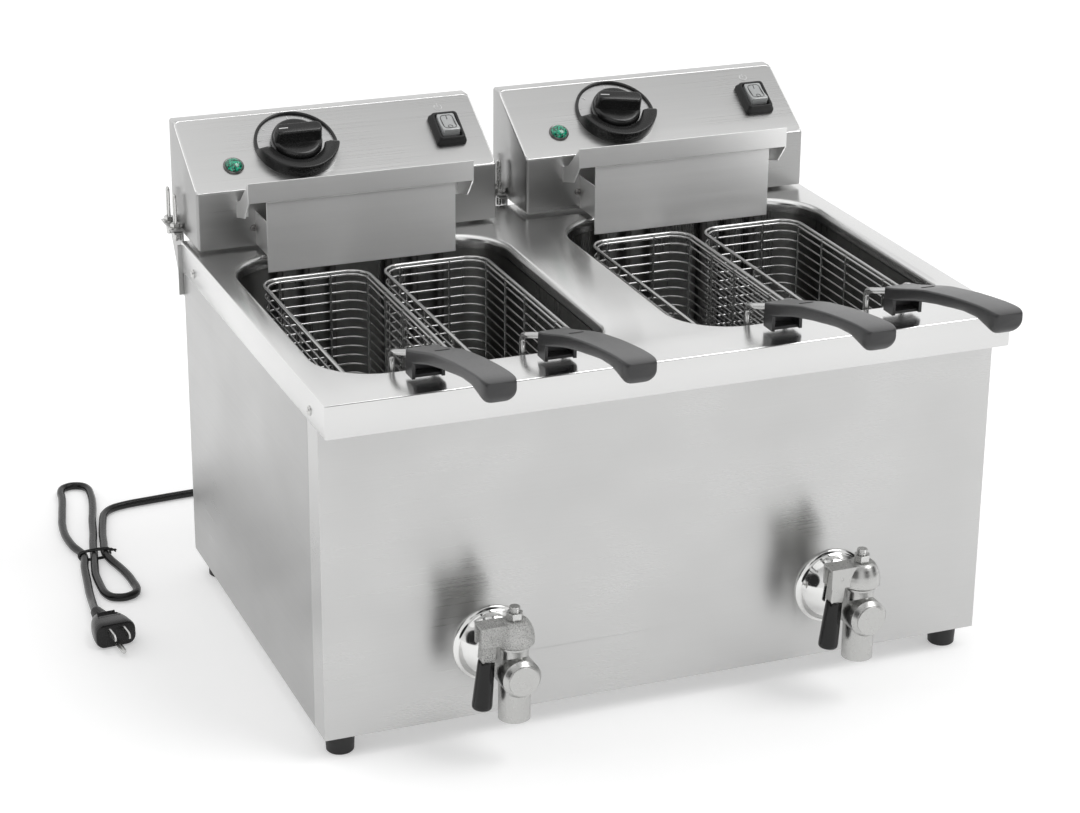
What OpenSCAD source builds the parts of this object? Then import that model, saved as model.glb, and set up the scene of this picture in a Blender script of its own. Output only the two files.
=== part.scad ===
// Two-tank countertop electric deep fryer with four wire baskets and two drain taps.
// Origin: on the floor, under the centre of the fryer. +X right, +Y back, +Z up.

/* [Cabinet] */
// Width of the deck, side to side
body_w = 590; // [560:5:640]
// Depth of the deck, front to back
deck_d = 420; // [410:2:430]
// Height of the deck's top above the cabinet's bottom edge
body_h = 296; // [285:1:310]
// Height of the rubber feet
foot_h = 20; // [14:1:30]
// Distance from the deck's front edge back to the front panel
front_setback = 24; // [15:1:30]
// Height of the deck's folded apron
apron_h = 28; // [22:1:34]

/* [Tanks] */
// Distance between the centres of the two fryer units
unit_pitch = 305; // [298:1:315]
// Width of each tank's opening
tank_w = 243; // [238:1:250]
// Length of each tank's opening, front to back
tank_l = 302; // [296:1:304]
// Distance from the deck's front edge to the tank opening
tank_front = 54; // [50:1:56]
// Corner radius of each tank
tank_r = 50; // [40:1:60]
// Depth of each tank below the deck
tank_depth = 180; // [176:1:190]

/* [Control heads] */
// Width of each control head
head_w = 276; // [270:1:284]
// Distance from the deck's front edge to the head's front face
head_front = 378; // [374:1:382]
// Depth of each head, front to back
head_d = 87; // [84:1:92]
// Height of the head's front face
head_face_h = 51; // [48:1:56]
// Rise of the sloping control panel
panel_rise = 46; // [42:1:50]
// Horizontal run of the sloping control panel
panel_run = 73; // [70:1:76]

/* [Baskets] */
// Width of each wire basket
basket_w = 98; // [94:1:98]
// Length of each wire basket
basket_l = 260; // [250:1:262]
// Depth of each wire basket
basket_h = 124; // [110:1:124]
// Distance between the centres of the two baskets in a tank
basket_pitch = 109; // [108:1:112]
// Width of the handle grip
grip_w = 28; // [24:1:30]
// How far the grips reach in front of the deck
grip_reach = 135; // [120:1:140]

/* [Taps] */
// Height of the tap's barrel above the cabinet's bottom edge
tap_z = 63; // [58:1:70]
// Outer radius of the tap's barrel and spout
barrel_r = 13; // [12:0.5:14]
// Inner radius of the drain spout
spout_bore_r = 9.5; // [8:0.5:10]
// Radius of the tap's wall flange
flange_r = 33; // [30:1:36]

/* [Power cord] */
// Diameter of the power cord
cord_d = 7.5; // [7:0.5:7.5]

/* [Hidden] */
$fn = 48;
sheet = 1.2;
fit_gap = 0.3;
sides = [-1, 1];
deck_front_y = (grip_reach - head_front - head_d) / 2;
inner_half_w = body_w / 2 - sheet - 0.1;
wrap_d = 27;
under_deck = body_h - sheet;
tank_floor_z = body_h - tank_depth;
head_z = body_h + 3;
slope = atan2(panel_rise, panel_run);
slope_len = norm([panel_rise, panel_run]);
panel_z = head_z + head_face_h;
head_top_z = panel_z + panel_rise;
head_back = head_front + head_d;
bracket_y = [434, 457];
bracket_top_z = body_h + 7;
tab_x = head_w / 2 + 5.5;
guard_y = 342;
guard_w = 172;
hanger_w = 205;
hanger_z = [body_h + 53, body_h + 71];
element_y = guard_y + 7.5;
rod_r = 3.25;
element_x = [26, 50, 74];
basket_top_z = body_h - 10;
basket_z = basket_top_z - basket_h;
element_z = basket_z - rod_r - 0.3;
basket_front = tank_front + 12;
basket_shift = 2.5;
basket_r = 18;
wire = 2.5;
handle_rod_r = 2.75;
stem_y = -28;
barrel_front_y = -49;
bulge_r = 16;
pin_x = -21.5;
pin_rise = 35;
dial_x = -36.5;
dial_s = 45;
switch_x = 104.5;
switch_s = 44;
lamp_x = -97.5;
lamp_s = 28;
gland_x = -40;
gland_z = 40;
cord_r = cord_d / 2;

// Route of the power cord, along its centre, from the gland to the plug
cord_route = [
    [-40, 290, 60], [-40, 312, 59], [-42, 336, 53], [-50, 360, 40], [-66, 382, 25],
    [-90, 398, 12], [-118, 406, 5], [-150, 410, 4], [-182, 412, 4], [-214, 414, 4],
    [-246, 415, 4], [-272, 414, 4], [-298, 412, 4], [-320, 410, 4], [-337, 405, 4],
    [-347, 394, 4], [-353, 375, 4], [-359, 350, 4], [-363, 328, 4.5], [-367, 306, 5],
    [-365.5, 290, 4.5], [-362, 275, 4], [-359.5, 261, 4], [-358, 248, 4], [-357.5, 235, 4],
    [-357.5, 222.5, 4], [-361.7, 212.2, 4], [-372, 208, 4], [-382.3, 212.2, 4], [-386.5, 222.5, 4],
    [-387, 235, 4], [-386.5, 250, 4], [-385.5, 264, 4], [-383, 278, 4.5], [-377.5, 305, 5],
    [-372.5, 331, 4.5], [-367, 354, 4], [-361, 384, 4], [-357, 400, 4], [-353.5, 415, 4],
    [-350.5, 430, 4], [-348.5, 445, 4], [-347.8, 459, 4], [-351.8, 468.5, 4], [-361.3, 472.5, 4],
    [-370.8, 468.5, 4], [-374.8, 459, 4], [-376.5, 446, 4], [-379, 433, 4], [-382.5, 418, 4],
    [-386, 402, 4], [-389.5, 386, 4], [-392.5, 360, 4], [-391.5, 332, 4.5], [-387, 306, 5],
    [-392, 280, 4.5], [-396, 252, 4], [-399.5, 228, 4], [-402, 206, 5], [-404, 190, 7.5],
    [-405, 178, 9.4],
];
plug_dir = [0.08, -0.997];

steel = [0.78, 0.78, 0.77];
bright = [0.86, 0.86, 0.85];
dark_steel = [0.45, 0.45, 0.45];
black = [0.08, 0.08, 0.08];
grip_grey = [0.2, 0.2, 0.2];

// ---- shared helpers ----

// Places children in the cabinet's frame: Y from the deck's front edge, Z from the cabinet's bottom
module in_cabinet() translate([0, deck_front_y, foot_h]) children();

// Places children on one fryer unit, left (-1) or right (1)
module at_unit(side) in_cabinet() translate([side * unit_pitch / 2, 0, 0]) children();

// Places children on the sloping panel: x across, y up the slope, z out of the panel
module on_panel(side, x, s)
    at_unit(side)
        translate([x, head_front, panel_z]) rotate([slope, 0, 0]) translate([0, s, 0]) children();

// A box given by two opposite corners
module block(low, high) translate(low) cube(high - low);

// Extrudes an outline given in (Y, Z) across X, centred
module across(width) rotate([90, 0, 90]) linear_extrude(width, center = true) children();

// Rounded rectangle centred on the origin
module rounded_rect(w, l, r) {
    square([w - 2 * r, l], center = true);
    square([w, l - 2 * r], center = true);
    for (x = sides, y = sides) translate([x * (w / 2 - r), y * (l / 2 - r)]) circle(r);
}

// A round rod through a list of points, with ball corners
module rod(points, r) {
    for (i = [0 : len(points) - 2]) {
        run = points[i + 1] - points[i];
        len_run = norm(run);
        translate(points[i])
            rotate([0, acos(run[2] / len_run), atan2(run[1], run[0])])
                cylinder(h = len_run, r = r);
    }
    for (i = [1 : 1 : len(points) - 2]) translate(points[i]) sphere(r);
}

// A cylinder along Y from y0 to y1
module y_cyl(y0, y1, r) translate([0, y1, 0]) rotate([90, 0, 0]) cylinder(h = y1 - y0, r = r);

// A cone along Y of length h, with its front end at y0
module y_cone(y0, h, r_back, r_front)
    translate([0, y0 + h, 0]) rotate([90, 0, 0]) cylinder(h = h, r1 = r_back, r2 = r_front);

// ---- cabinet ----

module front_panel() color(steel) in_cabinet() difference() {
    union() {
        block([-inner_half_w, front_setback, 0], [inner_half_w, front_setback + sheet, under_deck]);
        for (s = sides)
            translate([s * (inner_half_w - sheet / 2) - sheet / 2, front_setback, 0])
                cube([sheet, wrap_d, under_deck]);
    }
    for (s = sides)
        translate([s * unit_pitch / 2, 0, tap_z])
            y_cyl(front_setback - 1, front_setback + 2, barrel_r + 0.2);
}

module side_panel(side) color(steel) in_cabinet()
    translate([side * (inner_half_w - sheet / 2) - sheet / 2, front_setback + wrap_d + 0.4, 0])
        cube([sheet, deck_d - sheet - front_setback - wrap_d - 0.8, under_deck]);

module left_side_panel() side_panel(-1);
module right_side_panel() side_panel(1);

module back_panel() color(steel) in_cabinet() difference() {
    block([-inner_half_w, deck_d - sheet, 0], [inner_half_w, deck_d, under_deck]);
    translate([gland_x, 0, gland_z]) y_cyl(deck_d - 2, deck_d + 1, 8);
}

module base_panel() color(steel) in_cabinet() {
    floor_half_w = inner_half_w - sheet - 0.2;
    y0 = front_setback + sheet + 0.2;
    y1 = deck_d - sheet - 0.2;
    block([-floor_half_w, y0, 0], [floor_half_w, y1, sheet]);
    for (s = sides)
        translate([s * (floor_half_w - sheet / 2) - sheet / 2, y0, 0]) cube([sheet, y1 - y0, 14]);
}

module deck() color(bright) in_cabinet() {
    difference() {
        block([-body_w / 2, 0, under_deck], [body_w / 2, deck_d + sheet, body_h]);
        for (s = sides)
            translate([s * unit_pitch / 2, tank_front + tank_l / 2, under_deck - 1])
                linear_extrude(sheet + 2) rounded_rect(tank_w, tank_l, tank_r);
    }
    block([-body_w / 2, 0, body_h - apron_h], [body_w / 2, sheet, body_h - sheet / 2]);
    block([-body_w / 2, deck_d, body_h - apron_h], [body_w / 2, deck_d + sheet, body_h - sheet / 2]);
    for (s = sides)
        translate([s * (body_w / 2 - sheet / 2) - sheet / 2, 0, body_h - apron_h])
            cube([sheet, deck_d + sheet, apron_h - sheet / 2]);
}

module tank(side) color(dark_steel) at_unit(side) translate([0, tank_front + tank_l / 2, 0])
    difference() {
        union() {
            translate([0, 0, tank_floor_z - sheet])
                linear_extrude(tank_depth) rounded_rect(tank_w + 2 * sheet, tank_l + 2 * sheet, tank_r + sheet);
            translate([0, 0, under_deck - sheet])
                linear_extrude(sheet) rounded_rect(tank_w + 22, tank_l + 22, tank_r + 11);
        }
        translate([0, 0, tank_floor_z])
            linear_extrude(tank_depth + 1) rounded_rect(tank_w, tank_l, tank_r);
        translate([0, 36 - tank_l / 2, tank_floor_z - 3]) cylinder(h = 6, r = spout_bore_r);
    }

module left_tank() tank(-1);
module right_tank() tank(1);

module feet() color(black) in_cabinet()
    for (x = sides, y = [front_setback + 20, deck_d - 20])
        translate([x * (body_w / 2 - 20), y, -foot_h]) cylinder(h = foot_h, r1 = 11.5, r2 = 12.5);

module cabinet_screws() color(bright) in_cabinet()
    for (s = sides, y = [39, 381])
        translate([s * body_w / 2, y, body_h - 18]) rotate([0, s * 90, 0]) {
            cylinder(h = 0.8, r = 4);
            translate([0, 0, 0.8]) cylinder(h = 1.2, r1 = 3.6, r2 = 2.2);
        }

// Sheet gussets on the cabinet's back that carry the overhanging heads
module head_brackets() color(steel) for (side = sides) at_unit(side) for (s = sides)
    translate([s * tab_x, 0, 0]) difference() {
        union() {
            translate([-s * 3.4, 0, 0]) across(sheet) polygon([
                [deck_d + sheet, body_h - 52], [deck_d + 10, body_h - 52],
                [head_back - 1, bracket_top_z - 9], [head_back - 1, bracket_top_z],
                [deck_d + sheet, bracket_top_z],
            ]);
            block([-4, deck_d + sheet, bracket_top_z - sheet], [4, head_back - 1, bracket_top_z]);
            block([-s * 4 - 6, deck_d + sheet, body_h - 50], [-s * 4 + 6, deck_d + 2 * sheet, body_h - 4]);
        }
        for (y = bracket_y) translate([0, y, bracket_top_z - 3]) cylinder(h = 5, r = 2.9);
    }

// ---- drain and taps ----

module drain_pipes() color(steel) for (side = sides) at_unit(side) difference() {
    bend_r = 20;
    drop_y = tank_front + 36;
    drop_top = tank_floor_z - sheet;
    union() {
        translate([0, drop_y, tap_z + bend_r]) cylinder(h = drop_top - tap_z - bend_r, r = 12);
        translate([0, drop_y - bend_r, tap_z + bend_r]) rotate([0, 90, 0])
            rotate_extrude(angle = 90) translate([bend_r, 0]) circle(12);
        translate([0, 0, tap_z]) y_cyl(front_setback + 7, drop_y - bend_r, 12);
    }
    translate([0, drop_y, tap_z + bend_r]) cylinder(h = drop_top - tap_z, r = spout_bore_r);
    translate([0, drop_y - bend_r, tap_z + bend_r]) rotate([0, 90, 0])
        rotate_extrude(angle = 90) translate([bend_r, 0]) circle(spout_bore_r);
    translate([0, 0, tap_z]) y_cyl(front_setback, drop_y - bend_r, spout_bore_r);
}

// Domed wall flange behind each tap
module tap_flanges() color(bright) for (side = sides) at_unit(side)
    translate([0, front_setback, tap_z]) rotate([90, 0, 0]) rotate_extrude() polygon([
        [barrel_r + 0.1, 0], [flange_r, 0], [flange_r, 1.6], [flange_r - 2.5, 2.4],
        [flange_r - 5, 7], [flange_r - 9.5, 13], [flange_r - 15, 18], [barrel_r + 0.1, 19],
    ]);

module tap_body(side) color(bright) at_unit(side) translate([0, 0, tap_z]) difference() {
    union() {
        y_cyl(stem_y, front_setback + 7, barrel_r);
        y_cyl(barrel_front_y + 4, stem_y + 15, bulge_r);
        y_cone(barrel_front_y, 4, bulge_r, barrel_r);
        translate([0, stem_y, -41]) cylinder(h = 41, r = barrel_r);
        translate([0, stem_y, 0]) cylinder(h = 21, r = 11);
        translate([0, stem_y, 21]) cylinder(h = 2, r = 12.5);
    }
    y_cyl(stem_y, front_setback + 8, spout_bore_r - 1);
    translate([0, stem_y, -42]) cylinder(h = 28, r = spout_bore_r);
    translate([0, stem_y, -15]) cylinder(h = 15, r = spout_bore_r - 1.5);
    translate([0, stem_y, -10]) cylinder(h = 34, r = 9.1);
}

module left_tap_body() tap_body(-1);
module right_tap_body() tap_body(1);

module tap_caps() color(bright) for (side = sides) at_unit(side) translate([0, 0, tap_z])
    y_cone(barrel_front_y - 1, 1, barrel_r - 0.4, barrel_r - 0.8);

// Turning valve plug with its waterway, and the stem that the lever sits on
module tap_stem(side) color(bright) at_unit(side) translate([0, stem_y, tap_z]) difference() {
    union() {
        translate([0, 0, -9.5]) cylinder(h = 33, r = 9.05);
        translate([0, 0, 23.5]) cylinder(h = 32.5, r = 4);
    }
    translate([0, 0, -10]) cylinder(h = 10, r = 6);
    rotate([0, 90, 0]) cylinder(h = 12, r = 6);
}

module left_tap_stem() tap_stem(-1);
module right_tap_stem() tap_stem(1);

// Bell-shaped hub with an arm and a fork, and the hinge pin across the fork
module tap_lever(side) color(steel) at_unit(side) translate([0, stem_y, tap_z]) {
    difference() {
        union() {
            translate([0, 0, 23.6]) rotate_extrude() polygon([
                [0, 0], [14, 0], [16, 2], [16, 7], [15, 12], [13, 17], [11, 20], [9, 21.4], [0, 21.4],
            ]);
            block([pin_x - 9, -8, pin_rise - 8], [-8, 8, pin_rise + 9]);
        }
        translate([0, 0, 18]) cylinder(h = 30, r = 4.05);
        block([pin_x - 10, -5.2, 18], [pin_x + 7.4, 5.2, pin_rise + 7.2]);
        translate([pin_x, 9, pin_rise]) rotate([90, 0, 0]) cylinder(h = 18, r = 1.6);
    }
    translate([pin_x, 7.8, pin_rise]) rotate([90, 0, 0]) cylinder(h = 15.6, r = 1.5);
}

module left_tap_lever() tap_lever(-1);
module right_tap_lever() tap_lever(1);

module tap_nut(side) color(steel) at_unit(side) translate([0, stem_y, tap_z + 45.1]) difference() {
    cylinder(h = 6, r = 7, $fn = 6);
    translate([0, 0, -1]) cylinder(h = 8, r = 4.05);
}

module left_tap_nut() tap_nut(-1);
module right_tap_nut() tap_nut(1);

// Tongue that hinges on the fork's pin, with the tapered black grip below it
module tap_handle(side) color(black) at_unit(side)
    translate([pin_x, stem_y, tap_z + pin_rise]) rotate([0, 5.4, 0]) {
    difference() {
        union() {
            rotate([90, 0, 0]) cylinder(h = 10, r = 6, center = true);
            block([-6, -5, -23], [6, 5, 0]);
        }
        rotate([90, 0, 0]) cylinder(h = 12, r = 1.58, center = true);
    }
    translate([0, 0, -63]) cylinder(h = 41, r1 = 8.2, r2 = 6.7);
    translate([0, 0, -64]) cylinder(h = 1, r1 = 7.2, r2 = 8.2);
}

module left_tap_handle() tap_handle(-1);
module right_tap_handle() tap_handle(1);

// ---- control heads ----

// Side outline of a head in (Y, Z), pulled in by t on every face but the back and bottom
module head_outline(t, open) polygon([
    [head_front + t, head_z - open],
    [head_front + t, panel_z - t * tan(slope / 2)],
    [head_front + panel_run + t * tan(slope / 2), head_top_z - t],
    [head_back + open, head_top_z - t],
    [head_back + open, head_z - open],
]);

module head_shell(side) color(steel) difference() {
    union() {
        at_unit(side) difference() {
            across(head_w) head_outline(0, 0);
            across(head_w - 2 * sheet) head_outline(sheet, 5);
        }
        // side tabs that lie over the brackets
        at_unit(side) for (s = sides) difference() {
            block([s * tab_x - 5.5, 424, bracket_top_z + 0.3], [s * tab_x + 5.5, head_back - 2, bracket_top_z + 1.6]);
            for (y = bracket_y) translate([s * tab_x, y, bracket_top_z - 1]) cylinder(h = 5, r = 2.6);
            block([s * (tab_x - 20) - 15, 400, head_z - 5], [s * (tab_x - 20) + 15 - 0.6, head_back + 5, head_top_z]);
        }
    }
    on_panel(side, dial_x, dial_s) translate([0, 0, -5]) cylinder(h = 8, r = 4.2);
    on_panel(side, lamp_x, lamp_s) translate([0, 0, -5]) cylinder(h = 8, r = 6.2);
    on_panel(side, switch_x, switch_s) block([-10.5, -14.5, -5], [10.5, 14.5, 5]);
    at_unit(side) for (x = element_x, s = sides)
        translate([s * x, 0, head_z + 14]) y_cyl(head_front - 2, head_front + 3, rod_r + 0.4);
}

module left_head_shell() head_shell(-1);
module right_head_shell() head_shell(1);

// Bottom and back of the head, one folded sheet
module head_cover(side) color(steel) at_unit(side) difference() {
    cover_half_w = head_w / 2 - sheet - 0.2;
    union() {
        block([-cover_half_w, head_front + sheet + 0.2, head_z], [cover_half_w, head_back, head_z + sheet]);
        block([-cover_half_w, head_back - sheet, head_z], [cover_half_w, head_back, head_top_z - sheet - 0.2]);
    }
    for (x = [-70 : 14 : 70])
        block([x - 2, head_back - 5, head_z + 40], [x + 2, head_back + 5, head_z + 70]);
}

module left_head_cover() head_cover(-1);
module right_head_cover() head_cover(1);

// Rail across the front of the head that baskets hang on to drain
module basket_hanger(side) color(steel) at_unit(side) {
    block([-hanger_w / 2, guard_y - 2, hanger_z[0]], [hanger_w / 2, guard_y - 0.5, hanger_z[1]]);
    for (s = sides) {
        translate([s * (hanger_w / 2 - 0.75), 0, 0]) across(1.5) polygon([
            [guard_y - 2, hanger_z[1]], [guard_y - 2, hanger_z[0]], [354, body_h + 36],
            [head_front, body_h + 30], [head_front, body_h + 44], [366, body_h + 49],
        ]);
        block([s * (hanger_w / 2 - 5) - 5, head_front - 1.5, body_h + 30],
              [s * (hanger_w / 2 - 5) + 5, head_front, body_h + 44]);
    }
}

module left_basket_hanger() basket_hanger(-1);
module right_basket_hanger() basket_hanger(1);

// Plate that screens the element's legs, with flanges back to the head
module guard_plate(side) color(steel) at_unit(side) {
    block([-guard_w / 2, guard_y, body_h - 11], [guard_w / 2, guard_y + sheet, body_h + 52]);
    for (s = sides)
        translate([s * (guard_w / 2 - sheet / 2) - sheet / 2, guard_y, body_h + 4])
            cube([sheet, head_front - guard_y, 30]);
}

module left_guard_plate() guard_plate(-1);
module right_guard_plate() guard_plate(1);

// Black dial surround, low at the top and standing taller at the bottom
module dial_bezel(side) color(black) on_panel(side, dial_x, dial_s) difference() {
    cylinder(h = 11, r = 37.5);
    translate([0, 0, 3]) cylinder(h = 12, r = 35);
    translate([0, 6, 3]) rotate([8, 0, 0]) block([-50, -20, 0], [50, 60, 20]);
    translate([0, 0, -1]) cylinder(h = 6, r = 4.2);
}

module left_dial_bezel() dial_bezel(-1);
module right_dial_bezel() dial_bezel(1);

// Thermostat knob: round skirt, bar grip and shaft
module knob(side) color(black) on_panel(side, dial_x, dial_s)
    rotate([0, 0, side > 0 ? -10 : 0]) difference() {
        union() {
            translate([0, 0, 3.4]) cylinder(h = 8.6, r1 = 23, r2 = 21);
            intersection() {
                translate([0, 0, 3.4]) cylinder(h = 20.6, r = 21.5);
                block([-22, -6.5, 3.4], [22, 6.5, 24]);
            }
            translate([0, 0, -17]) cylinder(h = 21, r = 3);
        }
        translate([0, 0, -20]) block([2.2, -4, 0], [4, 4, 12]);
    }

module left_knob() knob(-1);
module right_knob() knob(1);

module switch_boot(side) color(black) on_panel(side, switch_x, switch_s) difference() {
    union() {
        block([-14, -18, 0], [14, 18, 5]);
        block([-12, -16, 0], [12, 16, 8]);
        block([-10.3, -14.3, -12], [10.3, 14.3, 0]);
    }
    block([-9, -13, -10], [9, 13, 10]);
}

module left_switch_boot() switch_boot(-1);
module right_switch_boot() switch_boot(1);

// Rocker with a dished face, leaning on its lower end
module rocker(side) color([0.75, 0.77, 0.75]) on_panel(side, switch_x, switch_s)
    translate([0, 0, 1]) rotate([-8, 0, 0]) rotate([90, 0, 90]) {
        linear_extrude(16.6, center = true) difference() {
            polygon([[-11, 1], [-4, -6], [4, -6], [11, 1], [11.2, 10], [-11.2, 10]]);
            translate([0, 42]) circle(33);
        }
        cylinder(h = 17.4, r = 2, center = true);
    }

module left_rocker() rocker(-1);
module right_rocker() rocker(1);

module pilot_lamp(side) color([0, 0.5, 0.3]) on_panel(side, lamp_x, lamp_s) {
    cylinder(h = 2, r = 8.6);
    translate([0, 0, -16]) cylinder(h = 17, r = 6);
    intersection() {
        translate([0, 0, -3]) sphere(9);
        cylinder(h = 8, r = 8);
    }
}

module left_pilot_lamp() pilot_lamp(-1);
module right_pilot_lamp() pilot_lamp(1);

// Thermostat behind the panel
module thermostat(side) color(dark_steel) on_panel(side, dial_x, dial_s) difference() {
    block([-18, -18, -30], [18, 18, -sheet - 0.1]);
    translate([0, 0, -22]) cylinder(h = 26, r = 3.1);
}

module left_thermostat() thermostat(-1);
module right_thermostat() thermostat(1);

// Three nested sheathed loops, down the back of the tank and along its bottom, on two straps
module heating_element(side) color(dark_steel) at_unit(side) {
    leg_top = head_z + 14;
    for (x = element_x, s = sides)
        rod([
            [s * x, head_front + 20, leg_top], [s * x, element_y, leg_top],
            [s * x, element_y, element_z], [s * x, 150 - x, element_z], [0, 150 - x, element_z],
        ], rod_r);
    for (y = [160, 300])
        block([-80, y - 6, element_z - rod_r - 1.2], [80, y + 6, element_z - rod_r + 1]);
    block([-84, head_front + 12, leg_top - 8], [84, head_front + 22, leg_top + 8]);
}

module left_heating_element() heating_element(-1);
module right_heating_element() heating_element(1);

// Captive clamp screws with tall wire loops for turning them by hand
module wing_screws(side) color(bright) at_unit(side) for (s = sides, y = bracket_y)
    translate([s * tab_x, y, bracket_top_z + 1.6]) {
        translate([0, 0, -12]) cylinder(h = 12, r = 2.5);
        cylinder(h = 4, r = 4.6, $fn = 6);
        translate([0, 0, 17]) across(2.2) difference() {
            rounded_rect(8.4, 28, 4);
            rounded_rect(4, 23.6, 1.9);
        }
    }

module left_wing_screws() wing_screws(-1);
module right_wing_screws() wing_screws(1);

// ---- baskets ----

function basket_x(n) = (n < 2 ? -1 : 1) * unit_pitch / 2 + basket_shift + (n % 2 - 0.5) * basket_pitch;

// Places children on basket n (0 to 3): X from its centre, Y from the deck's front edge
module at_basket(n) in_cabinet() translate([basket_x(n), 0, 0]) children();

// A flat grille of square wires in the XY plane, w by h, with its lower left corner at the origin
module grille(w, h, across_n, up_n) {
    for (i = [0 : up_n]) translate([0, i * (h - wire) / up_n, 0]) cube([w, wire, wire]);
    for (i = [0 : across_n]) translate([i * (w - wire) / across_n, 0, 0]) cube([wire, h, wire]);
}

// A wire basket as flat grilles and round corners, with the two-rod bracket of its handle
module basket(n) color(bright) at_basket(n) {
    half_w = basket_w / 2;
    gap = 0.2;
    short_run = basket_w - 2 * basket_r - 2 * gap;
    long_run = basket_l - 2 * basket_r - 2 * gap;
    rows = 8;
    for (s = sides)
        translate([s * (half_w - wire / 2) - wire / 2, basket_front + basket_r + gap, basket_z])
            rotate([90, 0, 90]) grille(long_run, basket_h, 5, rows);
    for (y = [basket_front + wire, basket_front + basket_l])
        translate([-short_run / 2, y, basket_z]) rotate([90, 0, 0]) grille(short_run, basket_h, 3, rows);
    translate([-half_w + basket_r, basket_front + wire + gap, basket_z])
        grille(basket_w - 2 * basket_r, basket_l - 2 * wire - 2 * gap, 3, 12);
    for (x = sides, y = sides)
        translate([x * (half_w - basket_r), basket_front + basket_l / 2 + y * (basket_l / 2 - basket_r), basket_z])
            rotate([0, 0, (y > 0 ? 45 : -45) * x + (x > 0 ? 0 : 180)])
                basket_corner(rows);
    // handle bracket: two bars forward into the grip, down the basket's end and joined below
    bar = 2 * handle_rod_r;
    for (s = sides) {
        translate([s * 10.5, 0, 0]) across(bar) polygon([
            [28, body_h + 17], [28, body_h + 17 + bar], [64, body_h + 10 + bar], [64, body_h + 10],
            [60, body_h + 10],
        ]);
        block([s * 17 - bar / 2, 64 - bar, 220], [s * 17 + bar / 2, 64, body_h + 10 + bar]);
    }
    for (z = [220, body_h + 10]) block([-17, 64 - bar, z], [17, 64, z + bar]);
}

// Quarter-round corner of a basket, opening towards -X
module basket_corner(rows) {
    for (i = [0 : rows])
        translate([0, 0, i * (basket_h - wire) / rows])
            rotate([0, 0, -45]) rotate_extrude(angle = 90) translate([basket_r - wire, 0]) square(wire);
    translate([basket_r - wire, -wire / 2, 0]) cube([wire, wire, basket_h]);
}

module basket_1() basket(0);
module basket_2() basket(1);
module basket_3() basket(2);
module basket_4() basket(3);

// Moulded grip: arched bar with a block at its back end that hooks down over the deck
module grip(n) color(grip_grey) at_basket(n) across(grip_w) polygon([
    [44, body_h + 6], [41, body_h + 3], [29, body_h + 3], [27, body_h + 5], [25, body_h + 19],
    [5, body_h + 24], [-25, body_h + 30], [-60, body_h + 36], [-95, body_h + 39],
    [-118, body_h + 38], [-128, body_h + 41], [6 - grip_reach, body_h + 46],
    [-grip_reach, body_h + 51], [6 - grip_reach, body_h + 56], [-118, body_h + 57],
    [-95, body_h + 54], [-60, body_h + 48], [-25, body_h + 41], [5, body_h + 33],
    [30, body_h + 26], [40, body_h + 23], [44, body_h + 19],
]);

module grip_1() grip(0);
module grip_2() grip(1);
module grip_3() grip(2);
module grip_4() grip(3);

// ---- power cord ----

// Point at fraction t between route points i and i + 1, on a Catmull-Rom curve
function cord_at(i, t) =
    let (
        last = len(cord_route) - 1,
        a = cord_route[max(i - 1, 0)], b = cord_route[i],
        c = cord_route[min(i + 1, last)], d = cord_route[min(i + 2, last)]
    )
    0.5 * (2 * b + (c - a) * t + (2 * a - 5 * b + 4 * c - d) * t * t
        + (3 * b - a - 3 * c + d) * t * t * t);

cord_steps = 2;
cord_points = [
    for (i = [0 : len(cord_route) - 2], k = [0 : cord_steps - 1])
        if (k == 0 || i < 26 || i > 41 || i % 2 == 0) cord_at(i, k / cord_steps),
    cord_route[len(cord_route) - 1],
];

// Ring of points round the cord at p, square to direction u
function cord_ring(p, u, n) =
    let (side_dir = cross(u, [0, 0, 1]) / norm(cross(u, [0, 0, 1])), up_dir = cross(side_dir, u))
    [for (k = [0 : n - 1]) p + cord_r * (cos(360 * k / n) * side_dir + sin(360 * k / n) * up_dir)];

module power_cord() color(black) {
    n = 10;
    count = len(cord_points);
    dirs = [for (i = [0 : count - 1])
        let (v = cord_points[min(i + 1, count - 1)] - cord_points[max(i - 1, 0)]) v / norm(v)];
    rings = [for (i = [0 : count - 1]) each cord_ring(cord_points[i], dirs[i], n)];
    walls = [for (i = [0 : count - 2], k = [0 : n - 1])
        [i * n + k, i * n + (k + 1) % n, (i + 1) * n + (k + 1) % n, (i + 1) * n + k]];
    ends = [[for (k = [n - 1 : -1 : 0]) k], [for (k = [0 : n - 1]) (count - 1) * n + k]];
    polyhedron(points = rings, faces = concat(walls, ends), convexity = 10);
}

// Gland nut on the back panel with a tapered strain relief
module cord_gland() color(black) translate([gland_x, deck_front_y + deck_d, foot_h + gland_z])
    rotate([-90, 0, 0]) difference() {
        union() {
            translate([0, 0, -8]) cylinder(h = 8, r = 7.9);
            cylinder(h = 5, r = 11, $fn = 6);
            translate([0, 0, 5]) cylinder(h = 30.5, r1 = 8, r2 = 5);
        }
        translate([0, 0, -9]) cylinder(h = 60, r = cord_r + 0.1);
    }

// Moulded plug lying on the floor: strain relief, body, two flat blades and a round earth pin
module cord_plug() color(black) {
    turn = [0, 0, atan2(plug_dir[1], plug_dir[0])];
    translate(cord_route[len(cord_route) - 1]) rotate(turn) {
        translate([0.9, 0, 0]) rotate([0, 90, 0]) cylinder(h = 24, r1 = 4.5, r2 = 8);
        translate([20, 0, 2.5]) plug_body();
        for (s = sides)
            block([52, s * 6.35 - 0.75, 5], [77, s * 6.35 + 0.75, 11]);
        translate([52, 0, -4]) rotate([0, 90, 0]) cylinder(h = 28, r = 2.4);
    }
}

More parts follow.
